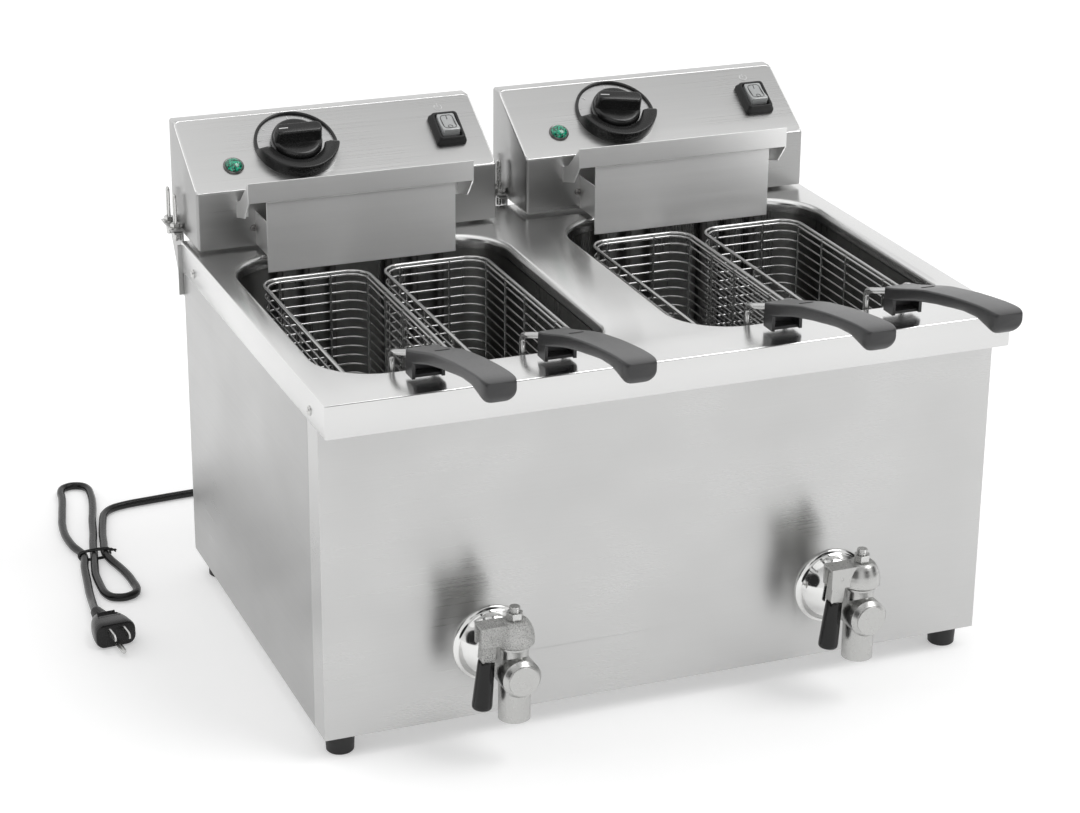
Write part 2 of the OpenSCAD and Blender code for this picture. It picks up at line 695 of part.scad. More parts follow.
module plug_body() intersection() {
    block([0, -18, -11.4], [38, 18, 12]);
    translate([0, 0, -2]) rotate([0, 90, 0]) cylinder(h = 38, r1 = 13, r2 = 22);
}

// Twist tie round the three strands
module cord_tie() color(black) translate([-377, 305, 0]) difference() {
    block([-15.4, -2, 0], [15.4, 2, 10.4]);
    block([-14.6, -3, 0.8], [14.6, 3, 9.6]);
}

front_panel();
left_side_panel();
right_side_panel();
back_panel();
base_panel();
deck();
left_tank();
right_tank();
feet();
cabinet_screws();
head_brackets();
drain_pipes();
tap_flanges();
left_tap_body();
right_tap_body();
tap_caps();
left_tap_stem();
right_tap_stem();
left_tap_lever();
right_tap_lever();
left_tap_nut();
right_tap_nut();
left_tap_handle();
right_tap_handle();
left_head_shell();
right_head_shell();
left_head_cover();
right_head_cover();
left_basket_hanger();
right_basket_hanger();
left_guard_plate();
right_guard_plate();
left_dial_bezel();
right_dial_bezel();
left_knob();
right_knob();
left_switch_boot();
right_switch_boot();
left_rocker();
right_rocker();
left_pilot_lamp();
right_pilot_lamp();
left_thermostat();
right_thermostat();
left_heating_element();
right_heating_element();
left_wing_screws();
right_wing_screws();
basket_1();
basket_2();
basket_3();
basket_4();
grip_1();
grip_2();
grip_3();
grip_4();
cord_gland();
power_cord();
cord_plug();
cord_tie();
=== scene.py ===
import math

import bmesh
import bpy
from mathutils import Matrix, Vector


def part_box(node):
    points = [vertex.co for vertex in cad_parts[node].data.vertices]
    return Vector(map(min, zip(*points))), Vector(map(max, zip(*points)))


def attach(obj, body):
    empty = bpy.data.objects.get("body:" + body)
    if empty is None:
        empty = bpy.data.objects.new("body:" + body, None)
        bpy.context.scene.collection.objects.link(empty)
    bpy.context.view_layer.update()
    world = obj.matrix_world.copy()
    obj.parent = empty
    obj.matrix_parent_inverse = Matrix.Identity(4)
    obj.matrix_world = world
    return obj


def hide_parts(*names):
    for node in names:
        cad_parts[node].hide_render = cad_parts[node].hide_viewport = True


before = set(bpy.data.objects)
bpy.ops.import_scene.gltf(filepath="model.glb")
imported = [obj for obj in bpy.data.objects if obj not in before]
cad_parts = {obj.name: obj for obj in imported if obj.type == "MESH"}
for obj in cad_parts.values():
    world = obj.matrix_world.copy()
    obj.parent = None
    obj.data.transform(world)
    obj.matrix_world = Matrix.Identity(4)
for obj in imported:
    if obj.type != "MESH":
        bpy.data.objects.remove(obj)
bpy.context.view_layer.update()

# ---------------------------------------------------------------- sizes, in mm in the cabinet's frame:
# X from the middle, Y from the deck's front edge, Z from the cabinet's bottom edge
MM = 0.001
deck_low, deck_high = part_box("deck")
BODY_W, BODY_H = 590.0, 296.0
FRONT_Y, BOTTOM_Z = deck_low[1], deck_high[2] - BODY_H * MM
SHEET = 1.2
DECK_D, APRON_H = 421.2, 28.0
FRONT_SETBACK, FOOT_H = 24.0, 20.0
UNIT_X = 152.5
TANK_W, TANK_L, TANK_FRONT, TANK_R, TANK_DEPTH = 243.0, 302.0, 54.0, 50.0, 180.0
RIM_R = 5.0
HEAD_Z, HEAD_FRONT, HEAD_D, PANEL_RISE, PANEL_RUN = BODY_H + 3, 378.0, 87.0, 46.0, 73.0
PANEL_Z = HEAD_Z + 51
SLOPE = math.atan2(PANEL_RISE, PANEL_RUN)
BASKET_W, BASKET_L, BASKET_H, BASKET_PITCH, BASKET_SHIFT = 98.0, 260.0, 124.0, 109.0, 2.5
BASKET_FRONT = TANK_FRONT + 12
BASKET_TOP = BODY_H - 10
TAP_Z, STEM_Y = 63.0, -28.0
SIDES = (("left", -1), ("right", 1))


def cab(x, y, z):
    return Vector((x * MM, FRONT_Y + y * MM, BOTTOM_Z + z * MM))


def unit(side, x, y, z):
    return cab(side * UNIT_X + x, y, z)


def panel_frame(side, x, s):
    """Matrix whose X runs across the sloping panel, Y up it and Z out of it, in mm."""
    y = HEAD_FRONT + s * math.cos(SLOPE)
    z = PANEL_Z + s * math.sin(SLOPE)
    return Matrix.Translation(unit(side, x, y, z)) @ Matrix.Rotation(SLOPE, 4, "X") @ Matrix.Scale(MM, 4)


def cab_frame(x, y, z):
    return Matrix.Translation(cab(x, y, z)) @ Matrix.Scale(MM, 4)


# ---------------------------------------------------------------- camera
def aim_camera():
    azimuth, elevation, roll = (math.radians(v) for v in (-21.742, 21.657, 0.453))
    back = Vector((
        math.sin(azimuth) * math.cos(elevation), -math.cos(azimuth) * math.cos(elevation), math.sin(elevation),
    ))
    right = Vector((math.cos(azimuth), math.sin(azimuth), 0))
    up = back.cross(right)
    turned = math.cos(roll) * right + math.sin(roll) * up
    up = math.cos(roll) * up - math.sin(roll) * right
    data = bpy.data.cameras.new("camera")
    data.lens, data.sensor_width = 91.9, 36.0
    data.clip_start, data.clip_end = 0.05, 60
    camera = bpy.data.objects.new("camera", data)
    bpy.context.collection.objects.link(camera)
    rotation = Matrix((turned, up, back)).transposed().to_4x4()
    camera.matrix_world = Matrix.Translation(Vector((-0.8548, -2.0040, 1.0779))) @ rotation
    bpy.context.scene.camera = camera


aim_camera()


# ---------------------------------------------------------------- materials
class Nodes:
    """Wires up one node material."""

    def __init__(self, name):
        self.mat = bpy.data.materials.new(name)
        self.mat.use_nodes = True
        self.tree = self.mat.node_tree
        self.bsdf = self.tree.nodes["Principled BSDF"]
        self.coord = self.tree.nodes.new("ShaderNodeTexCoord").outputs["Object"]

    def put(self, **values):
        for key, value in values.items():
            self.bsdf.inputs[key.replace("_", " ")].default_value = value

    def noise(self, scale, stretch=(1, 1, 1), detail=3.0, rough=0.55):
        mapping = self.tree.nodes.new("ShaderNodeMapping")
        mapping.inputs["Scale"].default_value = stretch
        self.tree.links.new(self.coord, mapping.inputs["Vector"])
        tex = self.tree.nodes.new("ShaderNodeTexNoise")
        tex.inputs["Scale"].default_value = scale
        tex.inputs["Detail"].default_value = detail
        tex.inputs["Roughness"].default_value = rough
        self.tree.links.new(mapping.outputs[0], tex.inputs["Vector"])
        return tex.outputs["Fac"]

    def ramp(self, fac, low, high, a, b):
        """fac from a to b gives the value low to high."""
        node = self.tree.nodes.new("ShaderNodeMapRange")
        for socket, value in zip(node.inputs[1:5], (a, b, low, high)):
            socket.default_value = value
        self.tree.links.new(fac, node.inputs[0])
        return node.outputs[0]

    def mix(self, fac, a, b):
        node = self.tree.nodes.new("ShaderNodeMix")
        node.data_type = "RGBA"
        self.tree.links.new(fac, node.inputs["Factor"])
        for socket, value in ((node.inputs[6], a), (node.inputs[7], b)):
            if isinstance(value, tuple):
                socket.default_value = (*value[:3], 1)
            else:
                self.tree.links.new(value, socket)
        return node.outputs[2]

    def add(self, a, b):
        node = self.tree.nodes.new("ShaderNodeMath")
        node.operation = "ADD"
        self.tree.links.new(a, node.inputs[0])
        self.tree.links.new(b, node.inputs[1])
        return node.outputs[0]

    def upright(self, colour, k):
        """Painted shade: multiplies a colour by k on faces that stand upright, and leaves level faces alone."""
        split = self.tree.nodes.new("ShaderNodeSeparateXYZ")
        self.tree.links.new(self.tree.nodes.new("ShaderNodeNewGeometry").outputs["Normal"], split.inputs[0])
        node = self.tree.nodes.new("ShaderNodeMix")
        node.data_type, node.blend_type = "RGBA", "MULTIPLY"
        self.tree.links.new(self.ramp(split.outputs["Z"], 1, 0, 0.1, 0.6), node.inputs["Factor"])
        self.tree.links.new(colour, node.inputs[6])
        node.inputs[7].default_value = (k, k, k, 1)
        return node.outputs[2]

    def link(self, out, socket):
        self.tree.links.new(out, self.bsdf.inputs[socket])

    def bump(self, height, strength, distance):
        node = self.tree.nodes.new("ShaderNodeBump")
        node.inputs["Strength"].default_value = strength
        node.inputs["Distance"].default_value = distance
        self.tree.links.new(height, node.inputs["Height"])
        self.link(node.outputs[0], "Normal")

    def tangent(self, axis, amount, turn=0.25):
        node = self.tree.nodes.new("ShaderNodeTangent")
        node.direction_type, node.axis = "RADIAL", axis
        self.link(node.outputs[0], "Tangent")
        self.put(Anisotropic=amount, Anisotropic_Rotation=turn)


def scaled(colour, k):
    return tuple(min(1, c * k) for c in colour)


def brushed(name, base, rough, stretch, axis="Z", streaks=0.05, clouds=0.05, aniso=0.65, bump=0.05,
            upright=1.0):
    """Brushed sheet steel: fine streaks along the grain, soft clouding, stretched reflections."""
    m = Nodes(name)
    m.put(Metallic=1.0)
    streak = m.noise(1.0, stretch, 4.0, 0.7)
    cloud = m.noise(7.0, (1, 1, 1.3), 2.0)
    fine = m.mix(m.ramp(streak, 0, 1, 0.3, 0.7), scaled(base, 1 - streaks), scaled(base, 1 + streaks))
    worn = m.mix(m.ramp(streak, 0, 1, 0.3, 0.7), scaled(base, 1 - streaks - clouds), scaled(base, 1 - clouds + streaks))
    tint = m.mix(m.ramp(cloud, 0, 1, 0.35, 0.65), fine, worn)
    # with upright below 1 this paints shade: vertical faces get a darker copy of the steel colour
    m.link(m.upright(tint, upright) if upright != 1.0 else tint, "Base Color")
    m.link(m.ramp(m.add(streak, cloud), rough - 0.05, rough + 0.06, 0.7, 1.3), "Roughness")
    m.bump(streak, bump, 0.0001)
    m.tangent(axis, aniso)
    return m.mat


def plain_metal(name, base, rough, grain=120.0, spread=0.05, bump=0.02, depth=0.0002, tone=0.04):
    m = Nodes(name)
    m.put(Metallic=1.0)
    speck = m.noise(grain)
    m.link(m.mix(speck, scaled(base, 1 - tone), scaled(base, 1 + tone)), "Base Color")
    m.link(m.ramp(speck, rough - spread, rough + spread, 0.35, 0.65), "Roughness")
    m.bump(speck, bump, depth)
    return m.mat


def plastic(name, base, rough, grain=900.0, bump=0.08, spread=0.06, coat=0.0, specular=0.5, tone=0.12):
    m = Nodes(name)
    m.put(Specular_IOR_Level=specular)
    if coat:
        m.put(Coat_Weight=coat, Coat_Roughness=0.08)
    speck = m.noise(grain, detail=2.0)
    cloud = m.noise(25.0, detail=2.0)
    m.link(m.mix(cloud, scaled(base, 1 - tone), scaled(base, 1 + tone)), "Base Color")
    m.link(m.ramp(m.add(speck, cloud), rough - spread, rough + spread, 0.7, 1.3), "Roughness")
    m.bump(speck, bump, 0.0001)
    return m.mat


STEEL = (0.63, 0.63, 0.625)
ALONG_X, ALONG_Y = (3, 900, 900), (900, 3, 900)
mats = {
    "front": brushed("brushed_front", scaled(STEEL, 0.9), 0.3, ALONG_X, streaks=0.016, clouds=0.04, bump=0.003),
    # painted shade: the side panels wear the front's steel made darker, for the dimmer light on the sides
    "side": brushed("brushed_side_painted_shade", scaled(STEEL, 0.7), 0.32, ALONG_Y, streaks=0.016, clouds=0.04, bump=0.003),
    # painted shade: the head's vertical faces (front and cheeks) are darkened to 0.6 through upright
    "head": brushed("brushed_head_painted_shade", STEEL, 0.3, ALONG_X, axis="X", aniso=0.5, streaks=0.018, bump=0.003, upright=0.6),
    # painted shade: the deck's vertical faces (apron and well rims) are darkened to 0.78 through upright
    "deck": brushed("deck_steel", (0.87, 0.87, 0.865), 0.21, ALONG_X, axis="Y", streaks=0.015, clouds=0.03, aniso=0.45,
                    bump=0.003, upright=0.78),
    "tank": brushed("tank_steel", (0.34, 0.34, 0.335), 0.3, (300, 300, 5), clouds=0.1, aniso=0.4, streaks=0.025, bump=0.008),
    "guard": brushed("guard_steel", (0.84, 0.84, 0.835), 0.42, ALONG_X, clouds=0.05, streaks=0.012, aniso=0.8, bump=0.003),
    "hanger": brushed("hanger_steel", (0.82, 0.82, 0.815), 0.38, ALONG_X, clouds=0.04, streaks=0.012, bump=0.003),
    "wire": plain_metal("chrome_wire", (0.56, 0.56, 0.555), 0.2, grain=300),
    "chrome": plain_metal("tap_chrome", (0.74, 0.74, 0.73), 0.1, grain=90, spread=0.03),
    "satin": plain_metal("satin_plate", (0.5, 0.5, 0.49), 0.3, grain=500, bump=0.03, spread=0.03, tone=0.03),
    "cast": plain_metal("cast_metal", (0.52, 0.52, 0.51), 0.3, grain=1300, spread=0.1, bump=1.0, depth=0.0012, tone=0.75),
    # painted highlight: bright steel for the rod that stands for the sloping panel's fold highlight
    "bend": plain_metal("painted_bend_highlight", (0.95, 0.95, 0.945), 0.22, grain=300, spread=0.03),
    "nut": plain_metal("bright_nut", (0.6, 0.6, 0.59), 0.25, grain=500, bump=0.1),
    "element": plain_metal("element_sheath", (0.2, 0.195, 0.19), 0.4, grain=150, spread=0.1, tone=0.15),
    # painted shade: darker black for the plug that stands for the grip slot's shaded hollow
    "slot_painted_shade": plastic("grip_slot_painted_shade", (0.012, 0.012, 0.012), 0.6),
    "gloss": plastic("gloss_black", (0.005, 0.005, 0.005), 0.14, grain=200, bump=0.02, specular=0.35, spread=0.03),
    "bezel": plastic("satin_black", (0.014, 0.014, 0.014), 0.28, grain=900, bump=0.05),
    "knob": plastic("knob_black", (0.013, 0.013, 0.013), 0.25, grain=900, bump=0.05),
    "rubber": plastic("black_rubber", (0.016, 0.016, 0.016), 0.5, grain=1200, bump=0.25, specular=0.4),
    "cord": plastic("cord_pvc", (0.006, 0.006, 0.006), 0.26, grain=700, bump=0.06, specular=0.35),
    "rocker": plastic("rocker_pale", (0.42, 0.43, 0.43), 0.22, grain=300, bump=0.02, coat=0.5),
    "print": plastic("white_print", (0.85, 0.85, 0.85), 0.5),
    "ink_soft": plastic("grey_print", (0.09, 0.09, 0.09), 0.4),
    "dial": brushed("dial_face", (0.6, 0.6, 0.6), 0.3, ALONG_X, axis="X", aniso=0.3),
    "ceramic": plastic("thermostat_body", (0.5, 0.48, 0.43), 0.5),
}


def lamp_material():
    m = Nodes("green_lens")
    facets = m.noise(700.0, detail=0.0)
    m.link(m.mix(m.ramp(facets, 0, 1, 0.4, 0.62), (0.0, 0.05, 0.03), (0.0, 0.3, 0.17)), "Base Color")
    m.link(m.mix(m.ramp(facets, 0, 1, 0.45, 0.7), (0.0, 0.02, 0.01), (0.0, 0.4, 0.22)), "Emission Color")
    m.put(Emission_Strength=0.35, Roughness=0.07, Coat_Weight=1.0, Coat_Roughness=0.03)
    m.bump(facets, 0.5, 0.0005)
    return m.mat


def grip_material():
    """Black plastic with a painted sheen: its upper faces are painted lighter than the sides, as the light from above
    falls on them.
    """
    m = Nodes("grip_plastic")
    speck = m.noise(1500.0, detail=2.0)
    split = m.tree.nodes.new("ShaderNodeSeparateXYZ")
    m.tree.links.new(m.tree.nodes.new("ShaderNodeNewGeometry").outputs["Normal"], split.inputs[0])
    top_sheen = m.ramp(split.outputs["Z"], 0, 1, 0.75, 0.97)
    # painted sheen: the base colour lightens on faces that look up
    m.link(m.mix(top_sheen, (0.018, 0.018, 0.019), (0.085, 0.085, 0.086)), "Base Color")
    m.link(m.ramp(speck, 0.3, 0.42, 0.35, 0.65), "Roughness")
    m.put(Specular_IOR_Level=0.6)
    m.bump(speck, 0.1, 0.0001)
    return m.mat


mats["lamp"] = lamp_material()
mats["grip"] = grip_material()


# ---------------------------------------------------------------- geometry helpers
def lerp(a, b, t):
    return a + (b - a) * t


def smooth(points, steps, closed=False):
    """Catmull-Rom curve through the points."""
    n, out = len(points), []
    spans = n if closed else n - 1
    for i in range(spans):
        if closed:
            a, b, c, d = (points[(i + k) % n] for k in (-1, 0, 1, 2))
        else:
            a, b, c, d = points[max(i - 1, 0)], points[i], points[i + 1], points[min(i + 2, n - 1)]
        for k in range(steps):
            t = k / steps
            out.append(0.5 * (2 * b + (c - a) * t + (2 * a - 5 * b + 4 * c - d) * t ** 2
                              + (3 * b - a - 3 * c + d) * t ** 3))
    return out if closed else out + [points[-1]]


def fillet(points, radius, steps=5, closed=False):
    """Rounds a polyline's corners."""
    points = [Vector(p) for p in points]
    n, out = len(points), []
    for i, p in enumerate(points):
        if not closed and i in (0, n - 1):
            out.append(p)
            continue
        a, b = points[i - 1] - p, points[(i + 1) % n] - p
        turn = math.pi - a.angle(b, math.pi)
        if turn < 1e-3:
            out.append(p)
            continue
        cut = min(radius * math.tan(turn / 2), a.length * 0.49, b.length * 0.49)
        start, end = p + a.normalized() * cut, p + b.normalized() * cut
        for k in range(steps + 1):
            t = k / steps
            out.append(start * (1 - t) ** 2 + p * (2 * t * (1 - t)) + end * t ** 2)
    return out


def round_rect(w, l, r, cx=0.0, cy=0.0, steps=10):
    """Points of a rounded rectangle in X and Y, counter-clockwise."""
    out = []
    for sx, sy, start in ((1, -1, -90), (1, 1, 0), (-1, 1, 90), (-1, -1, 180)):
        for k in range(steps + 1):
            a = math.radians(start + 90 * k / steps)
            out.append((cx + sx * (w / 2 - r) + r * math.cos(a), cy + sy * (l / 2 - r) + r * math.sin(a)))
    return out


class Shape:
    """Collects lofts, lathes and boxes into one mesh."""

    def __init__(self, matrix=None):
        self.verts, self.faces = [], []
        self.matrix = matrix or cab_frame(0, 0, 0)

    def loft(self, rings, cap_start=True, cap_end=True, closed=True):
        base, n = len(self.verts), len(rings[0])
        for ring in rings:
            self.verts += [self.matrix @ Vector(p) for p in ring]
        for i in range(len(rings) - 1):
            for k in range(n if closed else n - 1):
                a, b = base + i * n + k, base + i * n + (k + 1) % n
                self.faces.append((a, b, b + n, a + n))
        if cap_start:
            self.faces.append(tuple(base + k for k in range(n - 1, -1, -1)))
        if cap_end:
            self.faces.append(tuple(base + (len(rings) - 1) * n + k for k in range(n)))
        return self

    def lathe(self, profile, segments=56, axis="Z", at=(0, 0, 0), hexagon=False):
        """Turns a list of (radius, height) about an axis through the point at."""
        segments = 6 if hexagon else segments
        rings = []
        for r, h in profile:
            ring = []
            for k in range(segments):
                a = 2 * math.pi * k / segments
                u, v = r * math.cos(a), r * math.sin(a)
                p = {"Z": (u, v, h), "Y": (u, h, -v), "X": (h, u, v)}[axis]
                ring.append(tuple(p[i] + at[i] for i in range(3)))
            rings.append(ring)
        return self.loft(rings, cap_start=False, cap_end=False)

    def block(self, low, high):
        (x0, y0, z0), (x1, y1, z1) = low, high
        return self.loft([[(x0, y0, z), (x1, y0, z), (x1, y1, z), (x0, y1, z)] for z in (z0, z1)])

    def done(self, name, body, slot, mat, *nodes, angle=38, bevel=0.0, segments=2):
        mesh = bpy.data.meshes.new(name)
        mesh.from_pydata(self.verts, [], self.faces)
        bm = bmesh.new()
        bm.from_mesh(mesh)
        bmesh.ops.remove_doubles(bm, verts=bm.verts, dist=2e-6)
        bmesh.ops.dissolve_degenerate(bm, edges=bm.edges, dist=1e-6)
        bmesh.ops.recalc_face_normals(bm, faces=bm.faces)
        bm.to_mesh(mesh)
        bm.free()
        obj = bpy.data.objects.new(name, mesh)
        bpy.context.collection.objects.link(obj)
        if bevel:
            cut = obj.modifiers.new("edges", "BEVEL")
            cut.width, cut.segments, cut.limit_method = bevel * MM, segments, "ANGLE"
            cut.angle_limit = math.radians(angle)
            cut.harden_normals = True
        mesh.shade_smooth()
        mesh.set_sharp_from_angle(angle=math.radians(180 if bevel else angle))
        return settle(obj, body, slot, mat, *nodes)


def settle(obj, body, slot, mat, *nodes):
    obj.data.materials.clear()
    obj.data.materials.append(mats[mat])
    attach(obj, body)
    if nodes:
        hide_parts(*nodes)
    return obj


def wires(name, paths, body, slot, mat, *nodes, matrix=None, resolution=3):
    """One curve object of round rods. Each path is (points in mm, radius in mm, closed)."""
    matrix = matrix or cab_frame(0, 0, 0)
    data = bpy.data.curves.new(name, "CURVE")
    data.dimensions = "3D"
    data.bevel_depth, data.bevel_resolution, data.use_fill_caps = MM, resolution, True
    for points, radius, closed in paths:
        spline = data.splines.new("POLY")
        spline.points.add(len(points) - 1)
        for slot_point, p in zip(spline.points, points):
            slot_point.co = (*(matrix @ Vector(p)), 1)
            slot_point.radius = radius
        spline.use_cyclic_u = closed
        spline.use_smooth = True
    obj = bpy.data.objects.new(name, data)
    bpy.context.collection.objects.link(obj)
    return settle(obj, body, slot, mat, *nodes)


def sheet_fill(outlines, z, steps_matrix):
    """Vertices and faces of a flat plate bounded by closed outlines, the first one outside."""
    data = bpy.data.curves.new("fill", "CURVE")
    data.dimensions, data.fill_mode = "2D", "BOTH"
    for outline in outlines:
        spline = data.splines.new("POLY")
        spline.points.add(len(outline) - 1)
        for slot_point, (x, y) in zip(spline.points, outline):
            slot_point.co = (x, y, 0, 1)
        spline.use_cyclic_u = True
    obj = bpy.data.objects.new("fill", data)
    bpy.context.collection.objects.link(obj)
    mesh = obj.evaluated_get(bpy.context.evaluated_depsgraph_get()).to_mesh()
    verts = [steps_matrix @ Vector((v.co.x, v.co.y, z)) for v in mesh.vertices]
    faces = [tuple(p.vertices) for p in mesh.polygons]
    bpy.data.objects.remove(obj)
    bpy.data.curves.remove(data)
    return verts, faces


def finish_node(name, mat, soften=0.0, angle=30):
    """Gives a CAD node its material and, if asked, small rounded edges."""
    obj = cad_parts[name]
    obj.data.materials.clear()
    obj.data.materials.append(mats[mat])
    if soften:
        weld = obj.modifiers.new("weld", "WELD")
        weld.merge_threshold = 2e-6
        cut = obj.modifiers.new("edges", "BEVEL")
        cut.width, cut.segments, cut.limit_method = soften * MM, 2, "ANGLE"
        cut.angle_limit = math.radians(angle)
        cut.harden_normals = True
    return obj


# ---------------------------------------------------------------- power cord
CORD_ROUTE = [
    (-0.04, 0.29, 0.06), (-0.04, 0.312, 0.059), (-0.042, 0.336, 0.053), (-0.05, 0.36, 0.04),
    (-0.066, 0.382, 0.025), (-0.09, 0.398, 0.012), (-0.118, 0.406, 0.005), (-0.15, 0.41, 0.004),
    (-0.182, 0.412, 0.004), (-0.214, 0.414, 0.004), (-0.246, 0.415, 0.004), (-0.272, 0.414, 0.004),
    (-0.298, 0.412, 0.004), (-0.32, 0.41, 0.004), (-0.337, 0.405, 0.004), (-0.347, 0.394, 0.004),
    (-0.353, 0.375, 0.004), (-0.359, 0.35, 0.004), (-0.363, 0.328, 0.0045), (-0.367, 0.306, 0.005),
    (-0.3655, 0.29, 0.0045), (-0.362, 0.275, 0.004), (-0.3595, 0.261, 0.004), (-0.358, 0.248, 0.004),
    (-0.3575, 0.235, 0.004), (-0.3575, 0.2225, 0.004), (-0.3617, 0.2122, 0.004), (-0.372, 0.208, 0.004),
    (-0.3823, 0.2122, 0.004), (-0.3865, 0.2225, 0.004), (-0.387, 0.235, 0.004), (-0.3865, 0.25, 0.004),
    (-0.3855, 0.264, 0.004), (-0.383, 0.278, 0.0045), (-0.3775, 0.305, 0.005), (-0.3725, 0.331, 0.0045),
    (-0.367, 0.354, 0.004), (-0.361, 0.384, 0.004), (-0.357, 0.4, 0.004), (-0.3535, 0.415, 0.004),
    (-0.3505, 0.43, 0.004), (-0.3485, 0.445, 0.004), (-0.3478, 0.459, 0.004), (-0.3518, 0.4685, 0.004),
    (-0.3613, 0.4725, 0.004), (-0.3708, 0.4685, 0.004), (-0.3748, 0.459, 0.004), (-0.3765, 0.446, 0.004),
    (-0.379, 0.433, 0.004), (-0.3825, 0.418, 0.004), (-0.386, 0.402, 0.004), (-0.3895, 0.386, 0.004),
    (-0.3925, 0.36, 0.004), (-0.3915, 0.332, 0.0045), (-0.387, 0.306, 0.005), (-0.392, 0.28, 0.0045),
    (-0.396, 0.252, 0.004), (-0.3995, 0.228, 0.004), (-0.402, 0.206, 0.005), (-0.404, 0.19, 0.0075),
    (-0.405, 0.178, 0.0094),
]
CORD_D = 7.5
row_frame = Matrix.Scale(MM, 4)
route = smooth([Vector(p) * 1000 for p in CORD_ROUTE], 6)
cord = wires("mains_cord", [(route, CORD_D / 2, False)], "cabinet", "cord_pvc", "cord", "power_cord",
             matrix=row_frame, resolution=4)


def rounded_loop(w, h, r, x):
    """A rounded rectangle in Y and Z at the given X."""
    return [(x, y, z) for y, z in round_rect(w, h, r, steps=5)]


def make_plug():
    """Ribbed strain relief and moulded body, then two blades and an earth pin."""
    heading = math.atan2(-0.997, 0.08)
    at = Matrix.Translation(Vector(CORD_ROUTE[-1])) @ Matrix.Rotation(heading, 4, "Z") @ Matrix.Scale(MM, 4)
    body = Shape(at)
    profile = [(3.9, 0.9), (4.6, 1.3)]
    for i in range(6):
        x = 1.6 + i * 3.2
        r = 4.7 + i * 0.5
        profile += [(r + 0.6, x), (r + 0.7, x + 1.6), (r - 0.3, x + 1.9), (r - 0.2, x + 3.0)]
    profile += [(7.6, 21.5), (0.0, 21.6)]
    body.lathe(profile, 32, axis="X")
    rings = []
    for x, w, h, r, z in ((19, 12, 12, 5.5, 0.6), (20.5, 17, 15, 6.5, 1.0), (26, 24, 18, 7.5, 1.6), (34, 30, 20.5, 8, 1.9),
                          (42, 33.5, 21.5, 8, 2.2), (50, 35.5, 22, 8, 2.4), (55, 36, 22.2, 8, 2.5), (57.4, 35, 21.2, 7.5, 2.5),
                          (58, 33, 19, 6.5, 2.5)):
        rings.append([(px, py, pz + z) for px, py, pz in rounded_loop(w, h, r, x)])
    body.loft(rings)
    # finger ridges on the upper face
    for i in range(3):
        x = 30 + i * 5
        body.loft([[(x + dx, y, 2.0 + z) for dx, z in ((-1, 9.6), (0, 10.9), (1, 9.6), (0, 8))]
                   for y in (-8 - i, 8 + i)])
    moulded = body.done("plug_body", "cabinet", "plug_pvc", "cord", "cord_plug", angle=45)
    pins = Shape(at)
    for s in (-1, 1):
        y = s * 6.35
        pins.loft([[(x, y - 0.75, 5 + k), (x, y + 0.75, 5 + k), (x, y + 0.75, 11 - k), (x, y - 0.75, 11 - k)]
                   for x, k in ((52, 0), (75, 0), (77, 1.4))])
    pins.lathe([(0, 52), (2.4, 52), (2.4, 77.5), (1.9, 79.4), (0, 80)], 24, axis="X", at=(0, 0, -4))
    prongs = pins.done("plug_pins", "cabinet", "plug_pvc", "nut", angle=30)
    return moulded, prongs


plug_body, plug_pins = make_plug()


def make_tie():
    """A plastic-coated wire tie, wound round the strands and twisted on top."""
    paths = []
    for shift, lift in ((-1.4, 0.0), (1.3, 0.4)):
        ring = [(-391.8, 305, 5), (-389.5, 305, 1.4), (-383, 305, 0.75), (-370, 305, 0.75), (-364, 305, 1.4),
                (-362.2, 305, 5), (-364, 305, 8.9), (-370, 305, 9.5 + lift), (-377, 305, 9.6 + lift),
                (-384, 305, 9.5), (-389.6, 305, 8.6)]
        ring = [Vector((x, y + shift, z)) for x, y, z in ring]
        paths.append((smooth(ring, 6, closed=True), 0.8, True))
    for turn in (0, math.pi):
        tail = [Vector((-366 + k * 0.8, 303 - k * 0.9 + 0.9 * math.cos(turn + k * 0.9),
                        10.6 + 0.9 * math.sin(turn + k * 0.9))) for k in range(10)]
        paths.append((tail, 0.75, False))
    return wires("twist_tie", paths, "cabinet", "cord_pvc", "rubber", "cord_tie", matrix=row_frame)


twist_tie = make_tie()


def make_gland():
    at = Matrix.Translation(Vector((-0.040, FRONT_Y + 0.420, 0.060))) @ Matrix.Scale(MM, 4)
    gland = Shape(at)
    gland.lathe([(4, 0.2), (10.5, 0.2), (11, 0.8), (11, 4.6), (10.4, 5.2), (4, 5.2)], axis="Y", hexagon=True)
    profile = [(8.4, 5.0)]
    for i in range(7):
        y = 6.4 + i * 4.1
        r = 8.0 - i * 0.45
        profile += [(r, y), (r, y + 2.2), (r - 1.0, y + 2.5), (r - 1.0, y + 3.9)]
    profile += [(4.6, 35.4), (3.8, 35.5)]
    gland.lathe(profile, 36, axis="Y")
    return gland.done("strain_relief", "cabinet", "cord_pvc", "rubber", "cord_gland", angle=40)


make_gland()
tuple(cord_start := Vector(CORD_ROUTE[0]))


